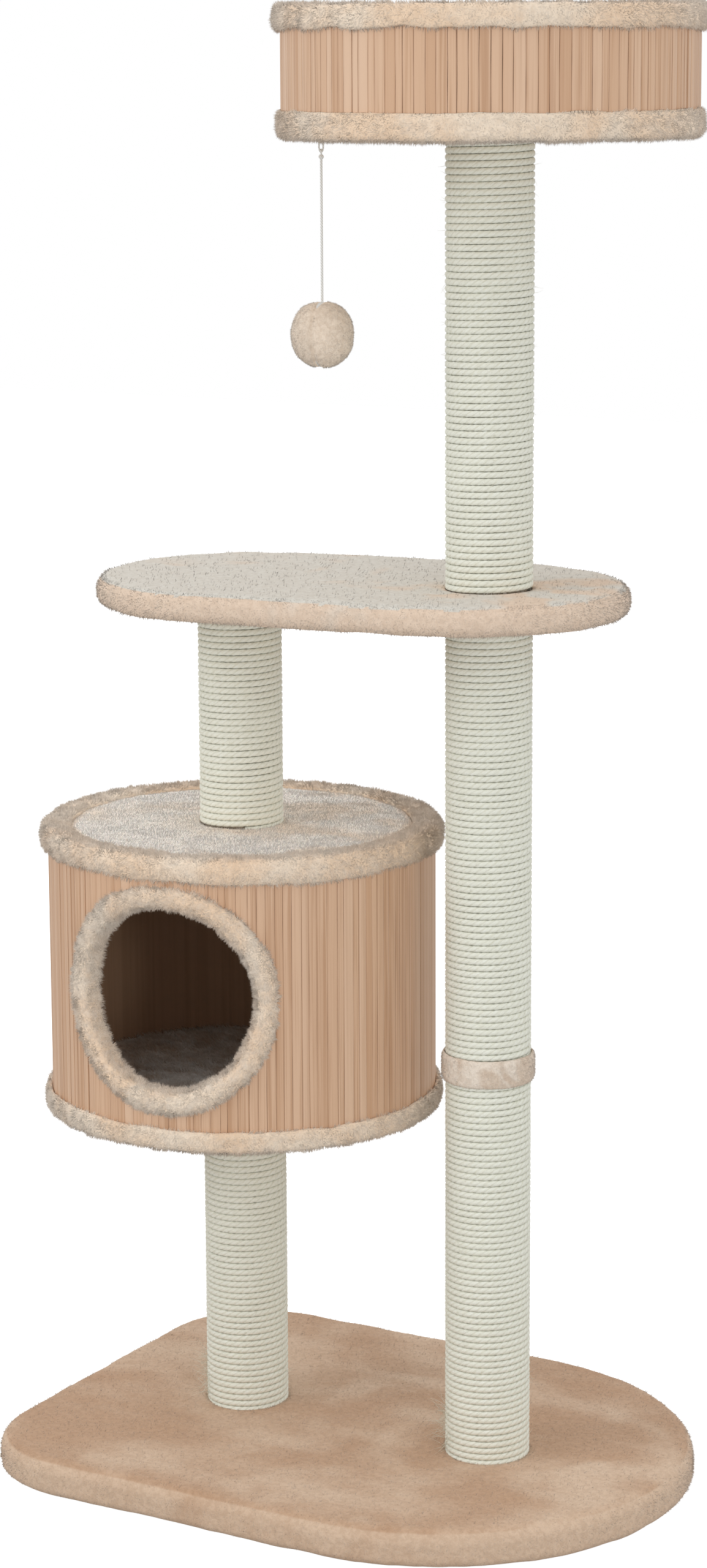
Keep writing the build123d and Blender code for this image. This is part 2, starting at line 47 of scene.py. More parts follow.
# The base: a chipboard slab, D-shaped from above, with warm tan plush stretched over its top and edge and
# stapled under it, round a thin backing sheet. The posts stand in the pile and press it flat, and it closes
# round each foot.
BASE_CORNER_RADIUS = 107 * MM
BASE_PLUSH = 8 * MM
BASE_FOLD = 43 * MM
FOLD_THICKNESS = 3 * MM
BASE_TOP_ROUND = 14 * MM
BASE_BOTTOM_ROUND = 8 * MM
PRESSED_PILE = 2 * MM


def axis_of(node):
    """Where a round piece's upright axis stands."""
    low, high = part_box(node)
    return np.array([(low[0] + high[0]) / 2, (low[1] + high[1]) / 2])


def radius_of(node):
    low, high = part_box(node)
    return (high[0] - low[0]) / 2


TALL_AXIS = axis_of("tall_lower_rope")
SHORT_AXIS = axis_of("short_lower_rope")
POST_RADIUS = radius_of("tall_lower_rope")


def from_axis(points, axis):
    """How far points are from an upright axis."""
    return np.linalg.norm(points[..., :2] - axis, axis=-1)


def unit(vectors):
    return vectors / np.linalg.norm(vectors, axis=-1)[..., None]


def level_ways(angles):
    """Level unit vectors that point at the given angles."""
    return np.stack([np.cos(angles), np.sin(angles), np.zeros(len(angles))], axis=1)


def soft_noise(points, size, seed):
    """Smooth bumps of about the given size, from -1 to 1, the same on every run."""
    spot = np.asarray(points) / size + seed * 17.31
    cell = np.floor(spot).astype(np.int64)
    blend = spot - cell
    blend = blend * blend * (3 - 2 * blend)
    total = np.zeros(len(spot))
    for corner in range(8):
        step = np.array([corner & 1, corner >> 1 & 1, corner >> 2 & 1])
        key = (cell + step) @ np.array([374761393, 668265263, 715827883])
        key = ((key ^ (key >> 13)) & 0x7FFFFFFF) * 1274126177
        key = (key ^ (key >> 16)) & 0xFFFF
        total += (key / 32767.5 - 1) * np.prod(np.where(step, blend, 1 - blend), axis=1)
    return total


def new_piece(name, points, faces):
    mesh = bpy.data.meshes.new(name)
    mesh.from_pydata(np.asarray(points).tolist(), [], faces)
    mesh.polygons.foreach_set("use_smooth", [True] * len(mesh.polygons))
    mesh.update()
    piece = bpy.data.objects.new(name, mesh)
    bpy.context.scene.collection.objects.link(piece)
    return piece


def skin_over(rows, closed_rows=False, first=0):
    """Points and faces of a closed skin over rings of points; open rows end in a centre point each."""
    count, around = rows.shape[:2]
    points = rows.reshape(-1, 3)
    here = np.arange(around) + first
    after = (np.arange(around) + 1) % around + first
    faces = []
    for row in range(count if closed_rows else count - 1):
        this = row * around
        other = (row + 1) % count * around
        faces.append(np.stack([here + this, after + this, after + other, here + other], axis=1))
    faces = np.concatenate(faces).tolist()
    if not closed_rows:
        last = (count - 1) * around
        points = np.concatenate([points, rows[:1].mean(axis=1), rows[-1:].mean(axis=1)])
        low_centre = len(points) - 2 + first
        top_centre = len(points) - 1 + first
        faces += [[low_centre, b, a] for a, b in zip(here.tolist(), after.tolist())]
        faces += [[top_centre, last + a, last + b] for a, b in zip(here.tolist(), after.tolist())]
    return points, faces


def points_of(mesh):
    points = np.empty(len(mesh.vertices) * 3)
    mesh.vertices.foreach_get("co", points)
    return points.reshape(-1, 3)


def normals_of(mesh):
    normals = np.empty(len(mesh.vertices) * 3, dtype=np.float32)
    mesh.vertex_normals.foreach_get("vector", normals)
    return normals.reshape(-1, 3).astype(float)


def ruffle(piece, amounts, seed, still=slice(0), floor=None):
    """Pushes a skin in and out by smooth noise, given as (height, size) pairs; one slice keeps still."""
    mesh = piece.data
    points = points_of(mesh)
    push = np.zeros(len(points))
    for number, (height, size) in enumerate(amounts):
        push += height * soft_noise(points, size, seed + number)
    push[still] = 0
    points = points + normals_of(mesh) * push[:, None]
    if floor is not None:
        points[:, 2] = np.maximum(points[:, 2], floor)
    mesh.vertices.foreach_set("co", points.ravel())
    mesh.update()


def set_down(piece, material, slot, *nodes, body="root"):
    """Gives a piece its material and body, and hides the CAD nodes that it stands for. The slot argument is
    not used.
    """
    piece.data.materials.append(material)
    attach(piece, body)
    if nodes:
        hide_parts(*nodes)
    return piece


def outline_of(arcs, count):
    """Points and outward normals, evenly spaced round arcs joined by their tangent lines."""
    spots = []
    normals = []
    for centre, radius, start, end in arcs:
        angles = np.radians(np.linspace(start, end, 90))
        way = level_ways(angles)[:, :2]
        spots.append(np.asarray(centre) + radius * way)
        normals.append(way)
    spots = np.concatenate(spots + [spots[0][:1]])
    normals = np.concatenate(normals + [normals[0][:1]])
    run = np.concatenate([[0], np.cumsum(np.linalg.norm(np.diff(spots, axis=0), axis=1))])
    even = np.linspace(0, run[-1], count, endpoint=False)
    spots = np.stack([np.interp(even, run, spots[:, k]) for k in (0, 1)], axis=1)
    normals = np.stack([np.interp(even, run, normals[:, k]) for k in (0, 1)], axis=1)
    return spots, unit(normals)


def edge_arc(height, radius, start, end, steps):
    """A slab's rounded edge as (inset, height) points, about a centre one radius in from its side."""
    angles = np.radians(np.linspace(start, end, steps))
    return [(radius - radius * math.cos(a), height + radius * math.sin(a)) for a in angles]


def slab_rows(outline, section, middle, spacing):
    """Rings of points for a covered slab: its section from the inside out, then its top to the middle."""
    spots, normals = outline
    rows = []
    for inset, height in section:
        rows.append(np.column_stack([spots - normals * inset, np.full(len(spots), height)]))
    edge = rows[-1]
    reach = from_axis(edge, middle).max()
    steps = int(reach / spacing)
    for step in range(1, steps):
        flat = middle + (edge[:, :2] - middle) * (1 - step / steps)
        rows.append(np.column_stack([flat, edge[:, 2]]))
    return np.array(rows)


def press_at_posts(points, level, pressed, spacing, *axes):
    """Presses the pile flat under posts that stand on it, with a close wall of pile round each foot."""
    near_level = np.abs(points[:, 2] - level) < abs(level - pressed) * 0.75 + 1 * MM
    for axis in axes:
        away = points[:, :2] - axis
        reach = np.maximum(np.linalg.norm(away, axis=1), 1e-9)
        gap = reach - POST_RADIUS - 0.3 * MM
        under = near_level & (gap < -0.5 * spacing)
        foot = under & (gap > -1.6 * spacing)
        rim = near_level & (np.abs(gap) <= 0.5 * spacing)
        beside = near_level & (gap > 0.5 * spacing) & (gap < 1.5 * spacing)
        points[under, 2] = pressed
        points[rim, 2] = level + (pressed - level) * 0.12
        points[beside, 2] = level + (pressed - level) * 0.02
        for band, new_gap in ((foot, -1.2 * MM), (rim, -0.9 * MM)):
            stretch = (POST_RADIUS + 0.3 * MM + new_gap) / reach[band]
            points[band, :2] = axis + away[band] * stretch[:, None]
    return points


def mark(piece, name, values):
    """Stores a number at every point of a piece."""
    made = piece.data.attributes.new(name, "FLOAT", "POINT")
    made.data.foreach_set("value", values.astype(np.float32))


def lay_nap_and_painted_light(piece, rule):
    """Marks which way a skin's nap lies, from -1, laid, to 1, raised; on the base, roof and platform it also
    carries painted shadow, shade and sheen.
    """
    mark(piece, "nap_and_painted_light", rule(points_of(piece.data), normals_of(piece.data)))


def add_pile(
    name, skin, count, length, width, lean, seed, weight, nap=(0, 0, -1), clump=7 * MM, rule=None, stray=0.6
):
    """Short fibres that grow from a plush skin, as a piece of their own: leaning spikes with three sides."""
    chance = np.random.default_rng(seed)
    mesh = skin.data
    mesh.calc_loop_triangles()
    corners = np.empty(len(mesh.loop_triangles) * 3, dtype=np.int32)
    mesh.loop_triangles.foreach_get("vertices", corners)
    corners = corners.reshape(-1, 3)
    points = points_of(mesh)
    normals = normals_of(mesh)
    patch = points[corners]
    area = np.linalg.norm(np.cross(patch[:, 1] - patch[:, 0], patch[:, 2] - patch[:, 0]), axis=1)
    area = area * weight(patch.mean(axis=1), normals[corners].mean(axis=1))
    pick = chance.choice(len(corners), count, p=area / area.sum())
    share = chance.dirichlet((1, 1, 1), count)
    root = (patch[pick] * share[:, :, None]).sum(axis=1)
    out = unit((normals[corners][pick] * share[:, :, None]).sum(axis=1))
    drift = np.stack([soft_noise(root, clump, seed + k) for k in (1, 2, 3)], axis=1)
    way = unit(out + np.asarray(nap) * lean + drift * stray + chance.normal(0, 0.2, (count, 3)))
    into = np.clip((way * out).sum(axis=1), None, 0.12) - 0.12
    way -= out * into[:, None]
    side = unit(np.cross(way, chance.normal(size=(count, 3))))
    across = np.cross(way, side)
    reach = length * chance.uniform(0.55, 1.1, count) * (1 + 0.25 * soft_noise(root, clump, seed + 4))
    foot = root - out * 0.4 * MM
    turns = np.radians([0, 120, 240])
    ring = [foot + width / 2 * (math.cos(t) * side + math.sin(t) * across) for t in turns]
    spikes = np.stack(ring + [foot + way * reach[:, None]], axis=1).reshape(-1, 3)
    first = np.arange(count)[:, None] * 4
    sides = [first + np.array([a, b, c]) for a, b, c in ((0, 1, 3), (1, 2, 3), (2, 0, 3), (2, 1, 0))]
    pile = new_piece(name, spikes, np.concatenate(sides).tolist())
    mark(pile, "pile", np.tile([0.0, 0.0, 0.0, 1.0], count) * np.repeat(chance.uniform(0.3, 1.0, count), 4))
    if rule is not None:
        mark(pile, "nap_and_painted_light", np.repeat(rule(root, out), 4))
    shading = unit(np.repeat(out + way * 0.25, 4, axis=0))
    pile.data.normals_split_custom_set_from_vertices(shading.tolist())
    pile.visible_shadow = False
    pile.visible_diffuse = False
    return pile


def object_place(nodes):
    return nodes.new("ShaderNodeTexCoord").outputs["Object"]


def start_group(name, **inputs):
    """A node group with the given inputs, named in plain words, and the outputs Color and Height."""
    group = bpy.data.node_groups.new(name, "ShaderNodeTree")
    for label, value in inputs.items():
        kind = "NodeSocketColor" if isinstance(value, tuple) else "NodeSocketFloat"
        made = group.interface.new_socket(label.replace("_", " "), in_out="INPUT", socket_type=kind)
        made.default_value = value
    group.interface.new_socket("Color", in_out="OUTPUT", socket_type="NodeSocketColor")
    group.interface.new_socket("Height", in_out="OUTPUT", socket_type="NodeSocketFloat")
    given = group.nodes.new("NodeGroupInput").outputs
    result = group.nodes.new("NodeGroupOutput").inputs
    return group, group.nodes, given, result


def use_group(material, group, **values):
    """Adds a node group to a material and sets its inputs."""
    made = material.node_tree.nodes.new("ShaderNodeGroup")
    made.node_tree = group
    for label, value in values.items():
        made.inputs[label.replace("_", " ")].default_value = value
    return made


def math_node(nodes, operation, *values):
    """A maths node; a value is either a number or the output that feeds it."""
    made = nodes.new("ShaderNodeMath")
    made.operation = operation
    for place, value in enumerate(values):
        if isinstance(value, (int, float)):
            made.inputs[place].default_value = value
        else:
            nodes.id_data.links.new(value, made.inputs[place])
    return made.outputs[0]


def colour_mix(nodes, share, first, second, blend="MIX"):
    made = nodes.new("ShaderNodeMix")
    made.data_type = "RGBA"
    made.blend_type = blend
    for place, value in (("Factor", share), ("A", first), ("B", second)):
        socket = made.inputs[{"Factor": 0, "A": 6, "B": 7}[place]]
        if isinstance(value, (int, float, tuple)):
            socket.default_value = value
        else:
            nodes.id_data.links.new(value, socket)
    return made.outputs[2]


def between(nodes, value, low, high, smooth=True):
    """How far a value is from low to high, from 0 to 1."""
    made = nodes.new("ShaderNodeMapRange")
    made.interpolation_type = "SMOOTHSTEP" if smooth else "LINEAR"
    nodes.id_data.links.new(value, made.inputs["Value"])
    for name, given in (("From Min", low), ("From Max", high)):
        if isinstance(given, (int, float)):
            made.inputs[name].default_value = given
        else:
            nodes.id_data.links.new(given, made.inputs[name])
    return made.outputs["Result"]


def noise_node(nodes, place, scale, detail=2.0, distortion=0.0):
    made = nodes.new("ShaderNodeTexNoise")
    made.inputs["Detail"].default_value = detail
    made.inputs["Distortion"].default_value = distortion
    nodes.id_data.links.new(place, made.inputs["Vector"])
    if isinstance(scale, (int, float)):
        made.inputs["Scale"].default_value = scale
    else:
        nodes.id_data.links.new(scale, made.inputs["Scale"])
    return made.outputs["Fac"]


def build_brushed_pile():
    """Plush: patches where the nap lies another way, tufts, fibres, painted shade at the roots and a painted
    highlight on the tips.
    """
    group, nodes, given, result = start_group(
        "brushed_pile",
        Raised_Nap=(0.6, 0.5, 0.4, 1),
        Laid_Nap=(0.5, 0.4, 0.3, 1),
        Patch_Scale=12.0,
        Patch_Edge=0.1,
        Fibre_Scale=600.0,
        Root_Shade=0.3,
    )
    place = object_place(nodes)
    # The nap number from each piece, which on the base, roof and platform also carries painted shadow, shade
    # and sheen.
    nap_and_light_node = nodes.new("ShaderNodeAttribute")
    nap_and_light_node.attribute_name = "nap_and_painted_light"
    cloudy = noise_node(nodes, place, given["Patch Scale"], 3.0, 0.9)
    patches = math_node(nodes, "MULTIPLY_ADD", nap_and_light_node.outputs["Fac"], 0.22, cloudy)
    low = math_node(nodes, "SUBTRACT", 0.5, given["Patch Edge"])
    high = math_node(nodes, "ADD", 0.5, given["Patch Edge"])
    nap_and_painted_light = between(nodes, patches, low, high)
    nap = colour_mix(nodes, nap_and_painted_light, given["Laid Nap"], given["Raised Nap"])
    tufts = noise_node(nodes, place, math_node(nodes, "MULTIPLY", given["Fibre Scale"], 0.28), 2.0, 0.6)
    fibres = noise_node(nodes, place, given["Fibre Scale"], 2.0)
    relief = math_node(nodes, "MULTIPLY_ADD", fibres, 0.5, tufts)
    # Painted shade: the hollows between the tufts are darkened towards the roots.
    depth = between(nodes, relief, 0.95, 0.55)
    painted_root_shade = math_node(nodes, "MULTIPLY", depth, given["Root Shade"])
    shaded = colour_mix(nodes, painted_root_shade, nap, (0.5, 0.41, 0.33, 1), "MULTIPLY")
    # Painted highlight: each fibre is lightened towards its tip.
    attribute = nodes.new("ShaderNodeAttribute")
    attribute.attribute_name = "pile"
    painted_tip_highlight = math_node(nodes, "MULTIPLY", attribute.outputs["Fac"], 0.55)
    lit = colour_mix(nodes, painted_tip_highlight, shaded, (1.0, 0.93, 0.85, 1))
    group.links.new(lit, result["Color"])
    group.links.new(relief, result["Height"])
    return group


brushed_pile = build_brushed_pile()


def new_material(name, roughness, specular=0.5, metallic=0.0):
    """A new material and its main shader."""
    material = bpy.data.materials.new(name)
    material.use_nodes = True
    shader = material.node_tree.nodes["Principled BSDF"]
    shader.inputs["Roughness"].default_value = roughness
    shader.inputs["Specular IOR Level"].default_value = specular
    shader.inputs["Metallic"].default_value = metallic
    return material, shader


def add_bump(material, shader, height, strength, distance):
    bump = material.node_tree.nodes.new("ShaderNodeBump")
    bump.inputs["Strength"].default_value = strength
    bump.inputs["Distance"].default_value = distance
    material.node_tree.links.new(height, bump.inputs["Height"])
    material.node_tree.links.new(bump.outputs["Normal"], shader.inputs["Normal"])


def plush(name, raised, laid, patch, edge, fibre=650.0, root_shade=0.5, sheen=0.22, glow=0.0):
    """Short-pile polyester plush in two tones, for a raised and a laid nap."""
    material, shader = new_material(name, 0.95, 0.12)
    shader.inputs["Sheen Weight"].default_value = sheen
    shader.inputs["Sheen Roughness"].default_value = 0.5
    shader.inputs["Subsurface Weight"].default_value = glow
    shader.inputs["Subsurface Radius"].default_value = (1.0, 0.75, 0.6)
    shader.inputs["Subsurface Scale"].default_value = 1.2 * MM
    shader.inputs["Sheen Tint"].default_value = (1.0, 0.86, 0.74, 1)
    pile = use_group(
        material,
        brushed_pile,
        Raised_Nap=(*raised, 1),
        Laid_Nap=(*laid, 1),
        Patch_Scale=patch,
        Patch_Edge=edge,
        Fibre_Scale=fibre,
        Root_Shade=root_shade,
    )
    material.node_tree.links.new(pile.outputs["Color"], shader.inputs["Base Color"])
    add_bump(material, shader, pile.outputs["Height"], 0.5, 0.9 * MM)
    return material


base_low, base_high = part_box("base_cover")
base_half = base_high[1]
base_top = base_high[2]
base_board_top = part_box("base_board")[1][2]
base_arcs = [
    ((base_high[0] - base_half, 0), base_half, -90, 90),
    ((base_low[0] + BASE_CORNER_RADIUS, base_half - BASE_CORNER_RADIUS), BASE_CORNER_RADIUS, 90, 180),
    ((base_low[0] + BASE_CORNER_RADIUS, BASE_CORNER_RADIUS - base_half), BASE_CORNER_RADIUS, 180, 270),
]
base_inside = [
    (BASE_PLUSH + 60 * MM, base_board_top),
    (BASE_PLUSH, base_board_top),
    (BASE_PLUSH, FOLD_THICKNESS),
    (BASE_FOLD, FOLD_THICKNESS),
]
base_outside = [(BASE_FOLD, 1 * MM)]
base_outside += [(inset, 0.0) for inset in np.linspace(BASE_FOLD - 1 * MM, BASE_BOTTOM_ROUND + 3 * MM, 10)]
base_outside += edge_arc(BASE_BOTTOM_ROUND, BASE_BOTTOM_ROUND, -90, 0, 7)
base_outside += [(0.0, height) for height in np.arange(10.5, 20, 2.6) * MM]
base_outside += edge_arc(base_top - BASE_TOP_ROUND, BASE_TOP_ROUND, 0, 90, 11)
base_middle = np.array([(base_low[0] + base_high[0]) / 2, 0.0])
base_rows = slab_rows(outline_of(base_arcs, 620), base_inside + base_outside, base_middle, 3 * MM)
base_still = slice(len(base_inside) * base_rows.shape[1])
base_floor_level = base_board_top + PRESSED_PILE
base_points = press_at_posts(
    base_rows.reshape(-1, 3), base_top, base_floor_level - 0.4 * MM, 3 * MM, TALL_AXIS, SHORT_AXIS
)
base_skin = new_piece("base_plush", *skin_over(base_points.reshape(base_rows.shape)))
ruffle(base_skin, [(0.7 * MM, 34 * MM), (0.3 * MM, 10 * MM), (0.12 * MM, 4.5 * MM)], 3, base_still, 0.0)
base_tan = plush("base_tan_plush", (0.65, 0.485, 0.355), (0.505, 0.325, 0.21), 6.0, 0.18, 700.0, 0.25)


def base_nap_and_shadow(points, normals):
    """Raised on the sides and in scuffs on top, with painted shadows of the tall post: darker laid nap at
    its back and to its right.
    """
    side = normals[:, 2] < 0.75
    post_shadow_at_back = np.linalg.norm((points[:, :2] - TALL_AXIS - [-10 * MM, 95 * MM]) / [150 * MM, 60 * MM], axis=1)
    right = np.linalg.norm((points[:, :2] - TALL_AXIS - [95 * MM, 40 * MM]) / [90 * MM, 40 * MM], axis=1)
    scuff = np.clip(soft_noise(points * [1.0, 1.0, 0.3], 42 * MM, 7) * 2.2 - 0.5, 0, 1)
    streak = 0.35 * soft_noise(points * [0.25, 1.0, 1.0], 24 * MM, 8)
    # Painted shadow of the tall post: laid and darker where its shadow falls.
    laid = np.clip(1.6 - 1.6 * np.minimum(post_shadow_at_back, right), 0, 1)
    return np.where(side, 0.7 + streak, -0.1 - 0.85 * laid + 0.55 * scuff + streak)


lay_nap_and_painted_light(base_skin, base_nap_and_shadow)
set_down(base_skin, base_tan, "base_plush", "base_cover")


def off_the_floor(points, normals):
    """Where the base's fibres grow: over the side and top, most of all on the rounded edge."""
    side = np.clip(1.2 - normals[:, 2], 0, 1)
    shown = (points[:, 2] > 4 * MM) & (normals[:, 2] > -0.6)
    inner = (points[:, 2] < base_board_top + 1 * MM) & (np.abs(normals[:, 2]) > 0.9)
    under = np.zeros(len(points), dtype=bool)
    foot = np.zeros(len(points), dtype=bool)
    for axis in (TALL_AXIS, SHORT_AXIS):
        gap = from_axis(points, axis) - POST_RADIUS
        under |= gap < 0.4 * MM
        foot |= gap < 4 * MM
    return (0.03 + side + 0.9 * foot) * shown * ~inner * ~under


base_lie = (0.9, -0.3, -0.5)
base_pile = add_pile(
    "base_pile", base_skin, 38000, 3.0 * MM, 0.6 * MM, 0.5, 11,
    off_the_floor, base_lie, rule=base_nap_and_shadow, stray=0.35,
)
set_down(base_pile, base_tan, "base_plush")


def build_pressed_chips():
    """Particle board: flakes and dust of wood pressed together, each flake with a tone of its own."""
    group, nodes, given, result = start_group(
        "pressed_chips", Pale_Chip=(0.6, 0.45, 0.28, 1), Dark_Chip=(0.3, 0.2, 0.11, 1), Chip_Scale=300.0
    )
    place = object_place(nodes)
    flakes = nodes.new("ShaderNodeTexVoronoi")
    group.links.new(place, flakes.inputs["Vector"])
    group.links.new(given["Chip Scale"], flakes.inputs["Scale"])
    tone = nodes.new("ShaderNodeSeparateColor")
    group.links.new(flakes.outputs["Color"], tone.inputs["Color"])
    dust = noise_node(nodes, place, math_node(nodes, "MULTIPLY", given["Chip Scale"], 2.5), 4.0)
    chip = colour_mix(nodes, tone.outputs["Red"], given["Dark Chip"], given["Pale Chip"])
    dusty = colour_mix(nodes, math_node(nodes, "MULTIPLY", dust, 0.5), chip, given["Pale Chip"])
    group.links.new(dusty, result["Color"])
    group.links.new(math_node(nodes, "ADD", tone.outputs["Green"], dust), result["Height"])
    return group


pressed_chips = build_pressed_chips()


def chip_board(name, pale, painted_root_shade, scale, roughness=0.8):
    material, shader = new_material(name, roughness, 0.25)
    chips = use_group(material, pressed_chips, Pale_Chip=(*pale, 1), Dark_Chip=(*painted_root_shade, 1), Chip_Scale=scale)
    material.node_tree.links.new(chips.outputs["Color"], shader.inputs["Base Color"])
    add_bump(material, shader, chips.outputs["Height"], 0.25, 0.3 * MM)
    return material


def refinish(material, *nodes):
    """Gives CAD nodes that stay in view a better material."""
    for node in nodes:
        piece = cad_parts[node]
        if not piece.material_slots:
            piece.data.materials.append(material)
        for place in piece.material_slots:
            place.material = material


refinish(chip_board("chipboard", (0.62, 0.46, 0.28), (0.33, 0.21, 0.11), 260.0), "base_board")

backing_cloth, shader = new_material("black_backing_cloth", 0.9, 0.2)
nodes = backing_cloth.node_tree.nodes
cloth_place = object_place(nodes)
matted = noise_node(nodes, cloth_place, 900.0, 5.0, 1.5)
dimples = nodes.new("ShaderNodeTexVoronoi")
dimples.inputs["Scale"].default_value = 420.0
backing_cloth.node_tree.links.new(cloth_place, dimples.inputs["Vector"])
bonded = between(nodes, dimples.outputs["Distance"], 0.15, 0.4)
cloth_colour = colour_mix(nodes, matted, (0.018, 0.018, 0.02, 1), (0.07, 0.07, 0.075, 1))
pressed = math_node(nodes, "SUBTRACT", 1.0, bonded)
cloth_colour = colour_mix(nodes, pressed, cloth_colour, (0.02, 0.02, 0.022, 1))
backing_cloth.node_tree.links.new(cloth_colour, shader.inputs["Base Color"])
add_bump(backing_cloth, shader, math_node(nodes, "ADD", matted, bonded), 0.35, 0.3 * MM)
refinish(backing_cloth, "base_backing")

zinc_steel, shader = new_material("zinc_plated_steel", 0.35, 0.5, 1.0)
nodes = zinc_steel.node_tree.nodes
metal_place = object_place(nodes)
spangle = noise_node(nodes, metal_place, 380.0, 3.0, 0.4)
scuffs = noise_node(nodes, metal_place, 1400.0, 4.0)
zinc = colour_mix(nodes, spangle, (0.48, 0.49, 0.50, 1), (0.66, 0.66, 0.65, 1))
zinc_steel.node_tree.links.new(zinc, shader.inputs["Base Color"])
scuffed = math_node(nodes, "MULTIPLY_ADD", scuffs, 0.3, 0.22)
zinc_steel.node_tree.links.new(scuffed, shader.inputs["Roughness"])
add_bump(zinc_steel, shader, scuffs, 0.15, 0.1 * MM)
refinish(zinc_steel, "base_staples", "post_bolts", "post_washers", "joining_studs", "threaded_inserts")
refinish(zinc_steel, "toy_staple")

# The posts: paper tubes wound from end to end with one three-strand sisal rope, glued down turn on turn,
# with a fibreboard plug and a threaded insert in each end. Loose hairs of sisal stand out from the rope,
# most of all at the feet of the two that stand on the base, where the rope's end was cut.
ROPE_RADIUS = 3 * MM
ROPE_PITCH = 6.05 * MM
ROPE_LAY = 21 * MM
ROPE_STEPS = 84
ROPE_SIDES = 12
STRAND_DEPTH = 0.08


def wind_rope(name, node, seed):
    """One rope wound round its tube, its strands twisting as it goes, with its UV map along and round it."""
    low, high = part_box(node)
    axis = axis_of(node)
    turns = (high[2] - low[2] - 2 * ROPE_RADIUS) / ROPE_PITCH
    along = np.arange(int(turns * ROPE_STEPS) + 1) / ROPE_STEPS
    angle = 2 * np.pi * (along + 0.37 * seed)
    pitch = (high[2] - low[2] - 2 * ROPE_RADIUS) / along[-1]
    mean = POST_RADIUS - ROPE_RADIUS - 0.15 * MM
    way = level_ways(angle)
    centre = np.column_stack([axis + mean * way[:, :2], low[2] + ROPE_RADIUS + pitch * along])
    wander = soft_noise(centre, 45 * MM, seed)
    centre[:, 2] += 0.35 * MM * wander * np.clip(np.minimum(along, along[-1] - along), 0, 1)
    swell = 1 + 0.035 * soft_noise(centre, 16 * MM, seed + 5)
    length = 2 * np.pi * mean * along
    turn = 2 * np.pi * np.arange(ROPE_SIDES) / ROPE_SIDES
    lobes = np.cos(3 * (turn[None, :] - 2 * np.pi * length[:, None] / ROPE_LAY))
    pressed = (np.abs(np.cos(turn)) ** 3.2 + np.abs(np.sin(turn)) ** 3.2) ** (-1 / 3.2)
    radius = ROPE_RADIUS * pressed * swell[:, None] * (1.0 + STRAND_DEPTH * (lobes - 0.6))
    side = way[:, None, :] * np.cos(turn)[None, :, None]
    up = np.array([0, 0, 1.0]) * np.sin(turn)[None, :, None]
    rows = centre[:, None, :] + (side + up) * radius[:, :, None]
    rows = rows[:, ::-1]
    piece = new_piece(name, *skin_over(rows))
    mesh = piece.data
    corner = np.empty(len(mesh.loops), dtype=np.int32)
    mesh.loops.foreach_get("vertex_index", corner)
    row = np.minimum(corner // ROPE_SIDES, len(rows) - 1)
    column = (ROPE_SIDES - 1 - corner % ROPE_SIDES) / ROPE_SIDES
    starts = np.empty(len(mesh.polygons), dtype=np.int32)
    mesh.polygons.foreach_get("loop_start", starts)
    sizes = np.diff(np.append(starts, len(corner)))
    face = np.repeat(np.arange(len(starts)), sizes)
    highest = np.maximum.reduceat(column, starts)[face]
    column = np.where(highest - column > 0.5, column + 1, column)
    layer = mesh.uv_layers.new(name="rope_run")
    spread = np.column_stack([length[row] / ROPE_LAY, column])
    layer.data.foreach_set("uv", spread.astype(np.float32).ravel())
    return piece


sisal, shader = new_material("sisal_rope", 0.85, 0.2)
shader.inputs["Sheen Weight"].default_value = 0.12
nodes = sisal.node_tree.nodes
run_map = nodes.new("ShaderNodeUVMap")
run_map.uv_map = "rope_run"
run = nodes.new("ShaderNodeSeparateXYZ")
sisal.node_tree.links.new(run_map.outputs["UV"], run.inputs["Vector"])
twist = math_node(nodes, "SUBTRACT", run.outputs["Y"], run.outputs["X"])
strand = math_node(nodes, "COSINE", math_node(nodes, "MULTIPLY", twist, 6 * math.pi))
groove = between(nodes, strand, -0.35, -1.0)
fibre_place = nodes.new("ShaderNodeCombineXYZ")
sisal.node_tree.links.new(math_node(nodes, "MULTIPLY", run.outputs["X"], 3.0), fibre_place.inputs["X"])
sisal.node_tree.links.new(math_node(nodes, "MULTIPLY", twist, 38.0), fibre_place.inputs["Y"])
fibres = noise_node(nodes, fibre_place.outputs["Vector"], 1.0, 3.0, 0.3)
rope_place = object_place(nodes)
batches = noise_node(nodes, rope_place, 26.0, 3.0, 0.5)
flecks = noise_node(nodes, rope_place, 330.0, 2.0, 0.8)
fleck = between(nodes, flecks, 0.66, 0.76)
sisal_colour = colour_mix(nodes, batches, (0.80, 0.815, 0.73, 1), (0.875, 0.885, 0.815, 1))
sisal_colour = colour_mix(nodes, between(nodes, fibres, 0.62, 0.32), sisal_colour, (0.74, 0.735, 0.61, 1))
groove_shade = math_node(nodes, "MULTIPLY", groove, 0.3)
sisal_colour = colour_mix(nodes, groove_shade, sisal_colour, (0.56, 0.545, 0.43, 1))
fleck_shade = math_node(nodes, "MULTIPLY", fleck, 0.3)
sisal_colour = colour_mix(nodes, fleck_shade, sisal_colour, (0.42, 0.40, 0.30, 1))
sisal.node_tree.links.new(sisal_colour, shader.inputs["Base Color"])
rope_relief = math_node(nodes, "SUBTRACT", fibres, math_node(nodes, "MULTIPLY", groove, 0.8))
add_bump(sisal, shader, rope_relief, 0.6, 0.5 * MM)

POSTS = ("tall_lower", "tall_middle", "tall_upper", "short_lower", "short_upper")
for number, post in enumerate(POSTS):
    rope = wind_rope(post + "_wound_rope", post + "_rope", number + 1)
    set_down(rope, sisal, "sisal_rope", post + "_rope")


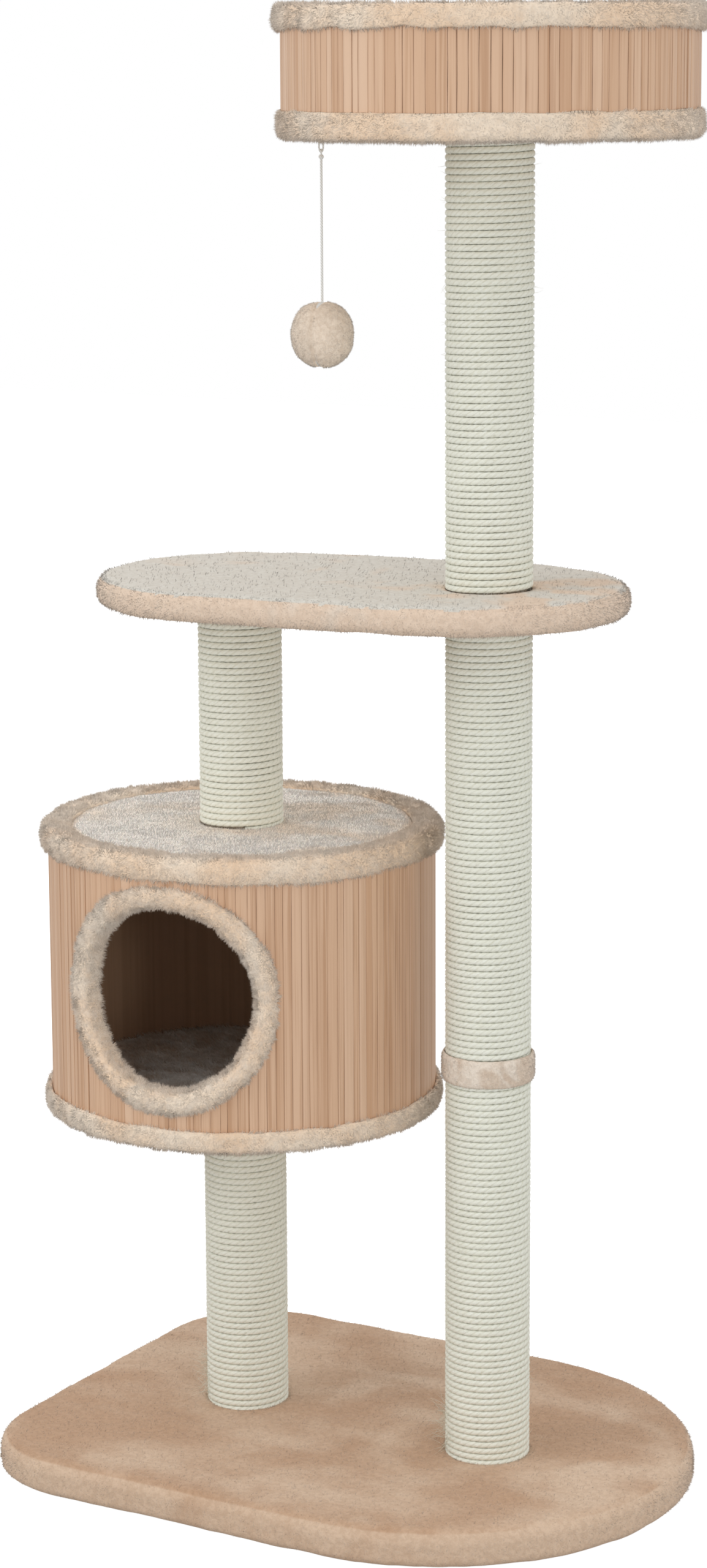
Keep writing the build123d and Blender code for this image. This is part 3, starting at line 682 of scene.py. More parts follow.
def grow_hairs(name, roots, ways, lengths, width, curl, seed):
    """Curved hairs with three sides, closed at both ends."""
    chance = np.random.default_rng(seed)
    count = len(roots)
    ways = unit(ways)
    bend = chance.normal(size=(count, 3))
    bend = unit(bend - ways * (bend * ways).sum(axis=1)[:, None])
    across = np.cross(ways, bend)
    rings = []
    for share in (0, 0.25, 0.5, 0.75, 1):
        thick = width / 2 * (1 - 0.8 * share)
        middle = roots + ways * (lengths * share)[:, None] + bend * (lengths * curl * share ** 2)[:, None]
        for turn in np.radians([0, 120, 240]):
            rings.append(middle + thick * (math.cos(turn) * bend + math.sin(turn) * across))
    points = np.stack(rings, axis=1).reshape(-1, 3)
    first = np.arange(count)[:, None] * 15
    faces = []
    for step in range(4):
        for a, b in ((0, 1), (1, 2), (2, 0)):
            low = step * 3
            faces += (first + np.array([low + a, low + b, low + 3 + b, low + 3 + a])).tolist()
    faces += (first + np.array([2, 1, 0])).tolist()
    faces += (first + np.array([12, 13, 14])).tolist()
    return new_piece(name, points, faces)


HAIRS_PER_METRE = 900
HAIR_LENGTH = 9 * MM
FOOT_HAIRS = 130
FOOT_HAIR_LENGTH = 27 * MM
chance = np.random.default_rng(21)
hair_roots = []
hair_ways = []
hair_lengths = []
for post in POSTS:
    axis = axis_of(post + "_rope")
    low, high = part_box(post + "_rope")
    foot = max(low[2], base_top) if low[2] < base_top else low[2] + 4 * MM
    count = int((high[2] - low[2]) * HAIRS_PER_METRE)
    spots = [(foot, high[2] - 4 * MM, 0.0, 2 * math.pi, count, HAIR_LENGTH)]
    if low[2] < base_top:
        cut_end = (math.radians(150), math.radians(235))
        spots.append((foot, foot + 45 * MM, *cut_end, FOOT_HAIRS, FOOT_HAIR_LENGTH))
    for bottom, top, from_angle, to_angle, count, length in spots:
        angle = chance.uniform(from_angle, to_angle, count)
        height = chance.uniform(bottom, top, count)
        out = level_ways(angle)
        along = np.stack([-np.sin(angle), np.cos(angle), np.zeros(count)], axis=1)
        rise = np.column_stack([np.zeros((count, 2)), chance.normal(0.15, 0.45, count)])
        way = out * chance.uniform(0.25, 0.9, (count, 1)) + along * chance.normal(0, 1, (count, 1)) + rise
        hair_roots.append(np.column_stack([axis + out[:, :2] * (POST_RADIUS - 1 * MM), height]))
        hair_ways.append(way)
        hair_lengths.append(length * chance.uniform(0.35, 1.0, count))
hairs = grow_hairs(
    "loose_sisal_hairs",
    np.concatenate(hair_roots),
    np.concatenate(hair_ways),
    np.concatenate(hair_lengths),
    0.36 * MM,
    0.4,
    22,
)
loose_sisal, shader = new_material("loose_sisal", 0.8, 0.2)
nodes = loose_sisal.node_tree.nodes
hair_tone = noise_node(nodes, object_place(nodes), 90.0, 2.0)
hair_mix = colour_mix(nodes, hair_tone, (0.66, 0.63, 0.5, 1), (0.84, 0.83, 0.74, 1))
loose_sisal.node_tree.links.new(hair_mix, shader.inputs["Base Color"])
set_down(hairs, loose_sisal, "sisal_rope")

paper_tube, shader = new_material("grey_paper_tube", 0.85, 0.25)
nodes = paper_tube.node_tree.nodes
paper_place = object_place(nodes)
pulp = noise_node(nodes, paper_place, 500.0, 5.0, 0.3)
spiral = nodes.new("ShaderNodeTexWave")
spiral.wave_type = "BANDS"
spiral.bands_direction = "Z"
spiral.inputs["Scale"].default_value = 3.2
spiral.inputs["Distortion"].default_value = 0.4
paper_tube.node_tree.links.new(paper_place, spiral.inputs["Vector"])
seam = between(nodes, spiral.outputs["Fac"], 0.06, 0.0)
paper = colour_mix(nodes, pulp, (0.36, 0.29, 0.21, 1), (0.52, 0.44, 0.34, 1))
paper = colour_mix(nodes, seam, paper, (0.22, 0.17, 0.12, 1))
paper_tube.node_tree.links.new(paper, shader.inputs["Base Color"])
add_bump(paper_tube, shader, math_node(nodes, "SUBTRACT", pulp, seam), 0.3, 0.3 * MM)
plug_board = chip_board("fibreboard_plugs", (0.50, 0.36, 0.21), (0.36, 0.25, 0.14), 900.0)
for post in POSTS:
    refinish(paper_tube, post + "_tube")
    refinish(plug_board, post + "_bottom_plug", post + "_top_plug")

# The band: a strip of plush glued round the joint of the two lower tall posts, its cut ends butted together
# in an upright seam at the front.
SWEEP_STEP = 1.9 * MM


def rounded_section(corners, passes=3, step=SWEEP_STEP):
    """A closed section with its corners cut round, as evenly spaced (radius, height) points."""
    shape = np.asarray(corners, dtype=float)
    for _ in range(passes):
        after = np.roll(shape, -1, axis=0)
        shape = np.stack([shape * 0.75 + after * 0.25, shape * 0.25 + after * 0.75], axis=1).reshape(-1, 2)
    closed = np.concatenate([shape, shape[:1]])
    run = np.concatenate([[0], np.cumsum(np.linalg.norm(np.diff(closed, axis=0), axis=1))])
    even = np.linspace(0, run[-1], max(8, int(run[-1] / step)), endpoint=False)
    return np.stack([np.interp(even, run, closed[:, k]) for k in (0, 1)], axis=1)


def swept_round(section, axis, count):
    """Rings of points where a section is turned round an upright axis, and each ring's angles."""
    angle = 2 * np.pi * np.arange(count) / count
    way = level_ways(angle)[:, :2]
    rows = np.empty((len(section), count, 3))
    rows[:, :, :2] = axis + section[:, None, :1] * way[None]
    rows[:, :, 2] = section[:, 1:]
    return rows, angle


band_low, band_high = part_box("joint_band")
band_out = radius_of("joint_band")
band_section = rounded_section(
    [
        (POST_RADIUS + 0.05 * MM, band_low[2] + 0.5 * MM),
        (band_out - 0.2 * MM, band_low[2]),
        (band_out + 1.6 * MM, band_low[2] + 4 * MM),
        (band_out + 1.8 * MM, band_high[2] - 4 * MM),
        (band_out - 0.2 * MM, band_high[2]),
        (POST_RADIUS + 0.05 * MM, band_high[2] - 0.5 * MM),
    ],
    3,
    1.3 * MM,
)
band_rows, band_angle = swept_round(band_section, TALL_AXIS, 220)
BAND_SEAM = math.radians(-42)
seam_gap = np.abs(np.angle(np.exp(1j * (band_angle - BAND_SEAM)))) * band_out
seam_pull = np.exp(-((seam_gap / (1.6 * MM)) ** 2)) * 1.3 * MM
band_way = unit(band_rows[:, :, :2] - TALL_AXIS)
band_outside = (from_axis(band_rows, TALL_AXIS) > POST_RADIUS + 1 * MM)[:, :, None]
band_rows[:, :, :2] -= band_way * seam_pull[None, :, None] * band_outside
band_skin = new_piece("joint_band_plush", *skin_over(band_rows, True))
ruffle(band_skin, [(0.35 * MM, 12 * MM), (0.25 * MM, 4 * MM)], 31)
band_tan = plush("band_plush", (0.80, 0.71, 0.61), (0.68, 0.56, 0.45), 26.0, 0.08, 900.0, 0.3)
set_down(band_skin, band_tan, "band_plush", "joint_band")


def outside_of(axis, radius):
    """A weight for fibres: only on the side that faces away from an axis, past a radius."""
    def weight(points, normals):
        away = points[:, :2] - axis
        gap = np.linalg.norm(away, axis=1)
        facing = (away * normals[:, :2]).sum(axis=1) / np.maximum(gap, 1e-9)
        return (gap > radius) * (facing > -0.15)
    return weight


band_shown = outside_of(TALL_AXIS, POST_RADIUS + 1 * MM)
band_pile = add_pile("joint_band_pile", band_skin, 5000, 2.2 * MM, 0.6 * MM, 0.2, 33, band_shown)
set_down(band_pile, band_tan, "band_plush")

# The house: two boards in a thin plywood hoop, with split bamboo slats glued upright round it. Its cover
# under the floor turns up over the slats' lower ends, and a rim of plush, sewn round the roof panel, turns
# down over their upper ends. The slats and the hoop are cut for a round entrance.
ENTRANCE_TURN = math.radians(-90 + 8.4)
ENTRANCE_HEIGHT = 480 * MM
ENTRANCE_CUT = 93 * MM
SLAT_THICKNESS = 2.7 * MM
SLAT_COUNT = 135
SLAT_STEPS = 6
DRUM_RADIUS = radius_of("house_bamboo")
SLAT_PLACES = np.array([-1.0, -0.9, -0.6, -0.2, 0.2, 0.6, 0.9, 1.0])
SLAT_CROWN = np.array([-0.34, -0.07, 0.0, 0.04, 0.04, 0.0, -0.07, -0.34]) * MM


def lay_slats(name, node, seed, gap, entrance=False):
    """Bamboo slats of random widths side by side round a drum, each a closed bar with a crowned face."""
    chance = np.random.default_rng(seed)
    low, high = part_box(node)
    axis = axis_of(node)
    widths = chance.uniform(6.2, 11.0, SLAT_COUNT) * MM
    widths *= 2 * math.pi * DRUM_RADIUS / widths.sum()
    edges = np.concatenate([[0], np.cumsum(widths)])
    points = []
    faces = []
    tones = []
    ends = len(SLAT_PLACES)
    for number, width in enumerate(widths):
        middle = edges[number] + width / 2
        half = (width - gap * chance.uniform(0.6, 1.5)) / 2
        tilt = chance.normal(0, 0.14 * MM)
        proud = chance.uniform(-0.35, 0.0) * MM
        tone = chance.beta(1.6, 2.2)
        shift = chance.random()
        run = middle + SLAT_PLACES * half
        from_entrance = (run / DRUM_RADIUS - ENTRANCE_TURN + math.pi) % (2 * math.pi) - math.pi
        offset = np.abs(from_entrance * DRUM_RADIUS)
        opening = np.sqrt(np.clip(ENTRANCE_CUT ** 2 - offset ** 2, 0, None))
        pieces = [(np.full(ends, low[2]), np.full(ends, high[2]))]
        if entrance and opening.max() > 0:
            pieces = [
                (np.full(ends, low[2]), ENTRANCE_HEIGHT - opening),
                (ENTRANCE_HEIGHT + opening, np.full(ends, high[2])),
            ]
        front = DRUM_RADIUS - 0.1 * MM + proud + SLAT_CROWN + tilt * SLAT_PLACES
        back = np.full(ends, DRUM_RADIUS - SLAT_THICKNESS)
        angle = run / DRUM_RADIUS
        for bottom, top in pieces:
            first = len(points)
            for step in range(SLAT_STEPS):
                height = bottom + (top - bottom) * step / (SLAT_STEPS - 1)
                sway = 0.12 * MM * math.sin(step * 2.1 + number)
                for radius, order in ((front, range(ends)), (back, range(ends - 1, -1, -1))):
                    for k in order:
                        turn = angle[k] + sway / DRUM_RADIUS
                        across = axis[0] + radius[k] * math.cos(turn)
                        deep = axis[1] + radius[k] * math.sin(turn)
                        points.append((across, deep, height[k]))
                        tones.append((tone, shift, abs(SLAT_PLACES[k]), 1.0))
            ring = 2 * ends
            last = (SLAT_STEPS - 1) * ring
            for step in range(SLAT_STEPS - 1):
                for k in range(ring):
                    a = first + step * ring + k
                    b = first + step * ring + (k + 1) % ring
                    faces.append((a, b, b + ring, a + ring))
            for k in range(ends - 1):
                a = first + k
                b = first + ring - 1 - k
                faces.append((a + 1, a, b, b - 1))
                faces.append((a + last, a + 1 + last, b - 1 + last, b + last))
    slats = new_piece(name, points, faces)
    slats.data.set_sharp_from_angle(angle=math.radians(35))
    colours = slats.data.attributes.new("slat", "FLOAT_COLOR", "POINT")
    colours.data.foreach_set("color", np.asarray(tones, dtype=np.float32).ravel())
    return slats


def build_long_grain():
    """Streaks of grain along Z, wide and fine, with a few darker ones, in two tones of wood."""
    group, nodes, given, result = start_group(
        "long_grain",
        Pale_Wood=(0.7, 0.5, 0.35, 1),
        Dark_Wood=(0.5, 0.3, 0.18, 1),
        Shift=0.0,
        Streak_Scale=500.0,
    )
    place = object_place(nodes)
    squeeze = nodes.new("ShaderNodeVectorMath")
    squeeze.operation = "MULTIPLY"
    squeeze.inputs[1].default_value = (1.0, 1.0, 0.012)
    group.links.new(place, squeeze.inputs[0])
    lift = nodes.new("ShaderNodeCombineXYZ")
    group.links.new(given["Shift"], lift.inputs["Z"])
    moved = nodes.new("ShaderNodeVectorMath")
    moved.operation = "ADD"
    group.links.new(squeeze.outputs["Vector"], moved.inputs[0])
    group.links.new(lift.outputs["Vector"], moved.inputs[1])
    fine = noise_node(nodes, moved.outputs["Vector"], given["Streak Scale"], 4.0, 0.4)
    wide_scale = math_node(nodes, "MULTIPLY", given["Streak Scale"], 0.22)
    wide = noise_node(nodes, moved.outputs["Vector"], wide_scale, 2.0)
    streaks = math_node(nodes, "MULTIPLY_ADD", fine, 0.55, math_node(nodes, "MULTIPLY", wide, 0.45))
    mixed = colour_mix(nodes, between(nodes, streaks, 0.36, 0.56), given["Dark Wood"], given["Pale Wood"])
    group.links.new(mixed, result["Color"])
    group.links.new(fine, result["Height"])
    return group


long_grain = build_long_grain()
bamboo, shader = new_material("split_bamboo", 0.5, 0.35)
shader.inputs["Coat Weight"].default_value = 0.08
shader.inputs["Coat Roughness"].default_value = 0.35
nodes = bamboo.node_tree.nodes
slat = nodes.new("ShaderNodeAttribute")
slat.attribute_name = "slat"
slat_parts = nodes.new("ShaderNodeSeparateColor")
bamboo.node_tree.links.new(slat.outputs["Color"], slat_parts.inputs["Color"])
grain = use_group(
    bamboo,
    long_grain,
    Pale_Wood=(0.645, 0.425, 0.28, 1),
    Dark_Wood=(0.50, 0.295, 0.175, 1),
    Streak_Scale=560.0,
)
slat_shift = math_node(nodes, "MULTIPLY", slat_parts.outputs["Green"], 3.0)
bamboo.node_tree.links.new(slat_shift, grain.inputs["Shift"])
dark_slat = between(nodes, slat_parts.outputs["Red"], 0.45, 1.1)
bamboo_colour = colour_mix(nodes, dark_slat, grain.outputs["Color"], (0.53, 0.31, 0.18, 1))
pale_slat = math_node(nodes, "MULTIPLY", between(nodes, slat_parts.outputs["Green"], 0.6, 1.0), 0.45)
bamboo_colour = colour_mix(nodes, pale_slat, bamboo_colour, (0.74, 0.53, 0.38, 1))
slat_edge = math_node(nodes, "MULTIPLY", between(nodes, slat_parts.outputs["Blue"], 0.88, 1.0), 0.25)
bamboo_colour = colour_mix(nodes, slat_edge, bamboo_colour, (0.36, 0.19, 0.10, 1))
bamboo.node_tree.links.new(bamboo_colour, shader.inputs["Base Color"])
rough = math_node(nodes, "MULTIPLY_ADD", grain.outputs["Height"], 0.25, 0.38)
bamboo.node_tree.links.new(rough, shader.inputs["Roughness"])
add_bump(bamboo, shader, grain.outputs["Height"], 0.3, 0.25 * MM)

house_slats = lay_slats("house_bamboo_slats", "house_bamboo", 41, 0.16 * MM, True)
set_down(house_slats, bamboo, "bamboo", "house_bamboo")

# Plywood's own brown, darkened further to paint the shade inside the house.
hoop_ply_painted_shade, shader = new_material("plywood_with_painted_shade", 0.75, 0.3)
grain = use_group(
    hoop_ply_painted_shade,
    long_grain,
    Pale_Wood=(0.42, 0.26, 0.16, 1),
    Dark_Wood=(0.37, 0.225, 0.135, 1),
    Streak_Scale=260.0,
)
hoop_ply_painted_shade.node_tree.links.new(grain.outputs["Color"], shader.inputs["Base Color"])
add_bump(hoop_ply_painted_shade, shader, grain.outputs["Height"], 0.25, 0.3 * MM)
board = chip_board("fibreboard", (0.46, 0.33, 0.2), (0.33, 0.23, 0.13), 700.0)
refinish(hoop_ply_painted_shade, "house_hoop", "bed_hoop")
refinish(board, "house_floor_board", "house_roof_board", "bed_floor_board", "platform_board")

trim_tan = plush("trim_plush", (0.83, 0.70, 0.56), (0.81, 0.615, 0.445), 11.0, 0.14, 620.0, 0.2, 0.6)


def wave_edge(rows, angle, from_height, to_height, depth, seed):
    """Lets a trim's cut edge hang unevenly: points near from_height move, those at to_height stay."""
    ring = level_ways(angle)
    hang = depth * (soft_noise(ring, 0.22, seed) + 0.5 * soft_noise(ring, 0.07, seed + 1))
    share = np.clip((to_height - rows[:, :, 2]) / (to_height - from_height), 0, 1)
    rows[:, :, 2] += share * hang[None, :]
    return rows


TRIM_TUFTS = [(0.9 * MM, 18 * MM), (0.45 * MM, 8 * MM), (0.2 * MM, 4 * MM)]
TRIM_ROUND = 4.5 * MM
PILE_PROUD = 2.6 * MM


def trim_pile(name, skin, count, length, seed, weight):
    """The long tufted fibres of a trim, hanging down."""
    pile = add_pile(name, skin, count, length, 0.75 * MM, 0.3, seed, weight, (0, 0, -1), 6 * MM, None, 0.9)
    set_down(pile, trim_tan, "trim_plush")


def bottom_cover(name, axis, floor, low, edge, out, seed):
    """The plush under a drum, pressed up by the post and turned up over the slats' lower ends."""
    inner = DRUM_RADIUS + 0.3 * MM
    out -= PILE_PROUD
    edge -= PILE_PROUD
    section = [(radius, low) for radius in np.arange(2 * MM, out - TRIM_ROUND, 2.4 * MM)]
    for turn in np.radians(np.linspace(90, 0, 5)):
        section.append((out - TRIM_ROUND * (1 - math.cos(turn)), low + TRIM_ROUND * (1 - math.sin(turn))))
    side_heights = np.arange(low + TRIM_ROUND + 2 * MM, edge - 4 * MM, 2 * MM)
    section += [(out + 0.4 * MM, height) for height in side_heights]
    section += [(out, edge - 3 * MM), (out - 0.6 * MM, edge - 1 * MM), (out - 1.6 * MM, edge)]
    section += [(inner + 0.8 * MM, edge), (inner, edge - 1 * MM)]
    section += [(inner, height) for height in np.linspace(edge - 3 * MM, floor + 2 * MM, 5)]
    section += [(radius, floor - 0.1 * MM) for radius in np.linspace(inner, 1 * MM, 12)]
    rows, angle = swept_round(np.asarray(section), axis, 560)
    turned_up = from_axis(rows[:, 0], axis) > DRUM_RADIUS + 0.2 * MM
    rows[turned_up] = wave_edge(rows[turned_up], angle, edge, low + 3 * MM, 1.5 * MM, seed)
    pressed = floor - PRESSED_PILE + 0.4 * MM
    rise = np.clip((from_axis(rows, axis) - POST_RADIUS - 0.4 * MM) / (6 * MM), 0, 1)
    under = np.abs(rows[:, :, 2] - low) < 1e-6
    rows[:, :, 2] = np.where(under, pressed + (low - pressed) * np.sqrt(rise * (2 - rise)), rows[:, :, 2])
    cover = new_piece(name, *skin_over(rows))
    ruffle(cover, TRIM_TUFTS, seed + 3)
    return cover


TRIM_RADIUS = radius_of("house_bottom_cover")
house_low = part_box("house_bottom_cover")[0][2]
house_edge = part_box("house_bottom_cover")[1][2]
house_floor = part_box("house_floor_board")[0][2]
house_bottom = bottom_cover(
    "house_bottom_plush", SHORT_AXIS, house_floor, house_low, house_edge, TRIM_RADIUS, 51
)
set_down(house_bottom, trim_tan, "trim_plush", "house_bottom_cover")
house_bottom_shown = outside_of(SHORT_AXIS, DRUM_RADIUS - 6 * MM)
trim_pile("house_bottom_pile", house_bottom, 30000, 4.8 * MM, 53, house_bottom_shown)

rim_low, rim_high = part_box("house_rim_trim")
roof_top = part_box("house_roof_board")[1][2]
RIM_SEAM = 163 * MM
house_rim_section = [
    (DRUM_RADIUS + 0.3 * MM, rim_low[2] + 5.5 * MM),
    (DRUM_RADIUS + 1.5 * MM, rim_low[2] + 3 * MM),
    (TRIM_RADIUS - 3.5 * MM, rim_low[2] + 3.5 * MM),
    (TRIM_RADIUS - 1.5 * MM, rim_low[2] + 9 * MM),
    (TRIM_RADIUS - 1 * MM, rim_high[2] - 9 * MM),
    (TRIM_RADIUS - 5 * MM, rim_high[2] - 0.5 * MM),
    (RIM_SEAM + 8 * MM, rim_high[2] - 1 * MM),
    (RIM_SEAM - 0.5 * MM, rim_high[2] - 3 * MM),
    (RIM_SEAM - 0.5 * MM, roof_top + 0.3 * MM),
    (DRUM_RADIUS - 4 * MM, roof_top + 0.3 * MM),
    (DRUM_RADIUS + 0.3 * MM, roof_top + 0.3 * MM),
]


def trim_ring(name, section, axis, wave, seed):
    """A padded plush strip that runs round a drum, with an uneven cut edge and a tufted surface."""
    rows, angle = swept_round(rounded_section(section), axis, 620)
    rows = wave_edge(rows, angle, *wave, seed)
    ring = new_piece(name, *skin_over(rows, True))
    ruffle(ring, TRIM_TUFTS, seed + 3)
    return ring


house_rim_wave = (rim_low[2], rim_high[2] - 8 * MM, 2.6 * MM)
house_rim = trim_ring("house_rim_plush", house_rim_section, SHORT_AXIS, house_rim_wave, 61)
set_down(house_rim, trim_tan, "trim_plush", "house_rim_trim")


def shown_of_rim(axis, low_radius, level):
    """A weight for a rim's fibres: its outer side and its top."""
    side = outside_of(axis, DRUM_RADIUS + 1 * MM)
    def weight(points, normals):
        gap = from_axis(points, axis)
        top = (points[:, 2] > level) * (normals[:, 2] > 0.1) * (gap > low_radius)
        return np.maximum(side(points, normals), top)
    return weight


house_rim_shown = shown_of_rim(SHORT_AXIS, RIM_SEAM + 0.5 * MM, roof_top + 3 * MM)
trim_pile("house_rim_pile", house_rim, 47000, 5.2 * MM, 63, house_rim_shown)

panel_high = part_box("house_roof_panel")[1][2]
panel_section = [(RIM_SEAM - 4 * MM, roof_top + 0.3 * MM), (RIM_SEAM - 0.9 * MM, roof_top + 0.3 * MM)]
panel_section += [(RIM_SEAM - 0.9 * MM, roof_top + 2.4 * MM)]
panel_section += [(RIM_SEAM - 2.4 * MM, panel_high - 1.2 * MM), (RIM_SEAM - 4.6 * MM, panel_high - 0.3 * MM)]
panel_section += [(radius, panel_high) for radius in np.arange(RIM_SEAM - 7 * MM, 1 * MM, -2.2 * MM)]
PANEL_AROUND = 460
panel_rows = swept_round(np.asarray(panel_section), SHORT_AXIS, PANEL_AROUND)[0]
panel_points = press_at_posts(
    panel_rows.reshape(-1, 3), panel_high, roof_top + 1.7 * MM, 2.2 * MM, SHORT_AXIS
)
house_panel = new_piece("house_roof_plush", *skin_over(panel_points.reshape(panel_rows.shape)))
panel_tufts = [(0.7 * MM, 26 * MM), (0.5 * MM, 9 * MM), (0.35 * MM, 4 * MM)]
ruffle(house_panel, panel_tufts, 71, slice(2 * PANEL_AROUND))
roof_plush = plush("roof_plush", (0.94, 0.89, 0.82), (0.86, 0.71, 0.57), 9.0, 0.16, 620.0, 0.08, 0.4, 0.4)


def roof_nap_and_shade(points, normals):
    """Raised and paler on the left and darker towards the right, a painted shade, with laid patches that
    grow stronger to the right of the post and laid nap along the seam.
    """
    # Painted shade: the panel's tone darkens from left to right.
    across = np.clip((points[:, 0] - SHORT_AXIS[0] + 20 * MM) / (90 * MM), 0, 1)
    patches = soft_noise(points, 34 * MM, 75) + 0.3 * soft_noise(points, 14 * MM, 76)
    gap = from_axis(points, SHORT_AXIS)
    sewn = np.clip((gap - RIM_SEAM + 9 * MM) / (6 * MM), 0, 1)
    return 0.6 - 0.9 * across + 0.9 * patches * (0.3 + across) - 1.6 * sewn


lay_nap_and_painted_light(house_panel, roof_nap_and_shade)
set_down(house_panel, roof_plush, "roof_plush", "house_roof_panel")


def facing_up(axis, inner, outer):
    """A weight for fibres on an upper face, between two distances from an axis."""
    def weight(points, normals):
        gap = from_axis(points, axis)
        return (normals[:, 2] > 0.2) * (gap > inner) * (gap < outer)
    return weight


roof_lie = (0.6, -0.7, -0.2)
roof_shown = facing_up(SHORT_AXIS, POST_RADIUS + 0.4 * MM, RIM_SEAM - 3 * MM)
panel_pile = add_pile(
    "house_roof_pile", house_panel, 46000, 3.4 * MM, 0.5 * MM, 0.7, 73,
    roof_shown, roof_lie, 16 * MM, roof_nap_and_shade, 0.35,
)
set_down(panel_pile, roof_plush, "roof_plush")

# The entrance trim: a fat plush strip bound round the cut edge of the hoop, its face outside, a throat over
# the edge and a narrower face inside. It is glued down by hand, so it is lumpy and not quite round.
trim_section = rounded_section(
    [
        (87.5 * MM, 174 * MM),
        (87 * MM, 184 * MM),
        (88 * MM, 191 * MM),
        (97 * MM, 193.5 * MM),
        (104.5 * MM, 191 * MM),
        (106.5 * MM, 185.5 * MM),
        (104 * MM, DRUM_RADIUS + 0.2 * MM),
        (92.4 * MM, DRUM_RADIUS + 0.2 * MM),
        (92.4 * MM, 177.3 * MM),
        (98 * MM, 177.3 * MM),
        (98.5 * MM, 174 * MM),
        (95 * MM, 172 * MM),
        (89 * MM, 172 * MM),
    ],
    2,
)
ENTRANCE_STEPS = 420
turn = 2 * np.pi * np.arange(ENTRANCE_STEPS) / ENTRANCE_STEPS
circle = level_ways(turn)
lump = 1.3 * MM * soft_noise(circle, 0.35, 81) + 0.7 * MM * soft_noise(circle, 0.12, 82)
outer_share = np.clip((trim_section[:, :1] - 92 * MM) / (16 * MM), 0, 1)
inner_share = np.clip((92 * MM - trim_section[:, :1]) / (8 * MM), 0, 1)
from_middle = trim_section[:, :1] + lump[None, :] * (outer_share - 0.5 * inner_share)
outer_face = trim_section[:, 1:] > 188 * MM
proud = trim_section[:, 1:] + 0.8 * MM * soft_noise(circle, 0.2, 83)[None, :] * outer_face
around = ENTRANCE_TURN + from_middle * np.cos(turn)[None, :] / DRUM_RADIUS
entrance_rows = np.stack(
    [
        SHORT_AXIS[0] + proud * np.cos(around),
        SHORT_AXIS[1] + proud * np.sin(around),
        ENTRANCE_HEIGHT + from_middle * np.sin(turn)[None, :],
    ],
    axis=2,
)
entrance_ring = new_piece("entrance_plush", *skin_over(entrance_rows[::-1], True))
ruffle(entrance_ring, TRIM_TUFTS, 84)
set_down(entrance_ring, trim_tan, "trim_plush", "entrance_trim")
entrance_middle = np.array(
    [
        SHORT_AXIS[0] + DRUM_RADIUS * math.cos(ENTRANCE_TURN),
        SHORT_AXIS[1] + DRUM_RADIUS * math.sin(ENTRANCE_TURN),
        ENTRANCE_HEIGHT,
    ]
)


def shown_of_entrance(points, normals):
    """Fibres over the ring's face and throat, and fewer inside the house."""
    gap = from_axis(points, SHORT_AXIS)
    bare = (gap < DRUM_RADIUS + 1 * MM) & (np.linalg.norm(points - entrance_middle, axis=1) > 91 * MM)
    return np.where(bare & (gap > 175 * MM), 0.0, 1.0)


entrance_lie = (0.1, -0.1, -0.6)
entrance_pile = add_pile(
    "entrance_pile", entrance_ring, 46000, 5.8 * MM, 0.75 * MM, 0.2, 85,
    shown_of_entrance, entrance_lie, 5 * MM, stray=1.1,
)
set_down(entrance_pile, trim_tan, "trim_plush")

# Inside the house a loose plush mat lies on the floor, pushed into soft folds.
MAT_AROUND = 380
MAT_UNDER_RINGS = 10
mat_low, mat_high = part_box("house_floor_mat")
mat_reach = radius_of("house_floor_mat") - 0.6 * MM
mat_section = [(radius, mat_low[2]) for radius in np.linspace(1 * MM, mat_reach - 2 * MM, MAT_UNDER_RINGS)]
mat_section += [(mat_reach, mat_low[2] + 1.6 * MM), (mat_reach, mat_high[2] - 2.5 * MM)]
mat_section += [(mat_reach - 1.2 * MM, mat_high[2] - 0.8 * MM)]
mat_section += [(radius, mat_high[2]) for radius in np.arange(mat_reach - 4 * MM, 2 * MM, -2.6 * MM)]
mat_rows = swept_round(np.asarray(mat_section), SHORT_AXIS, MAT_AROUND)[0]
mat_points = mat_rows.reshape(-1, 3)
creases = np.abs(soft_noise(mat_points, 24 * MM, 92))
folds = 3.4 * MM * soft_noise(mat_points, 48 * MM, 91) + 2.2 * MM * creases
inside_edge = np.clip((mat_reach - from_axis(mat_points, SHORT_AXIS)) / (20 * MM), 0, 1)
on_top = mat_points[:, 2] > mat_high[2] - 1e-6
mat_points[:, 2] += np.maximum(folds, -3.5 * MM) * inside_edge * on_top
house_mat = new_piece("house_mat_plush", *skin_over(mat_points.reshape(mat_rows.shape)))
mat_under = slice(MAT_UNDER_RINGS * MAT_AROUND)
ruffle(house_mat, [(0.7 * MM, 7 * MM), (0.4 * MM, 3.6 * MM)], 93, mat_under, mat_low[2])
lining_plush = plush("lining_plush", (0.92, 0.89, 0.85), (0.62, 0.51, 0.42), 16.0, 0.1, 560.0, 0.4)
set_down(house_mat, lining_plush, "lining_plush", "house_floor_mat")
house_mat_pile = add_pile(
    "house_mat_pile", house_mat, 18000, 6.5 * MM, 1.1 * MM, 0.8, 95,
    facing_up(SHORT_AXIS, 0.0, mat_reach - 3 * MM), (-0.5, -0.8, 0.0), 14 * MM
)
set_down(house_mat_pile, lining_plush, "lining_plush")

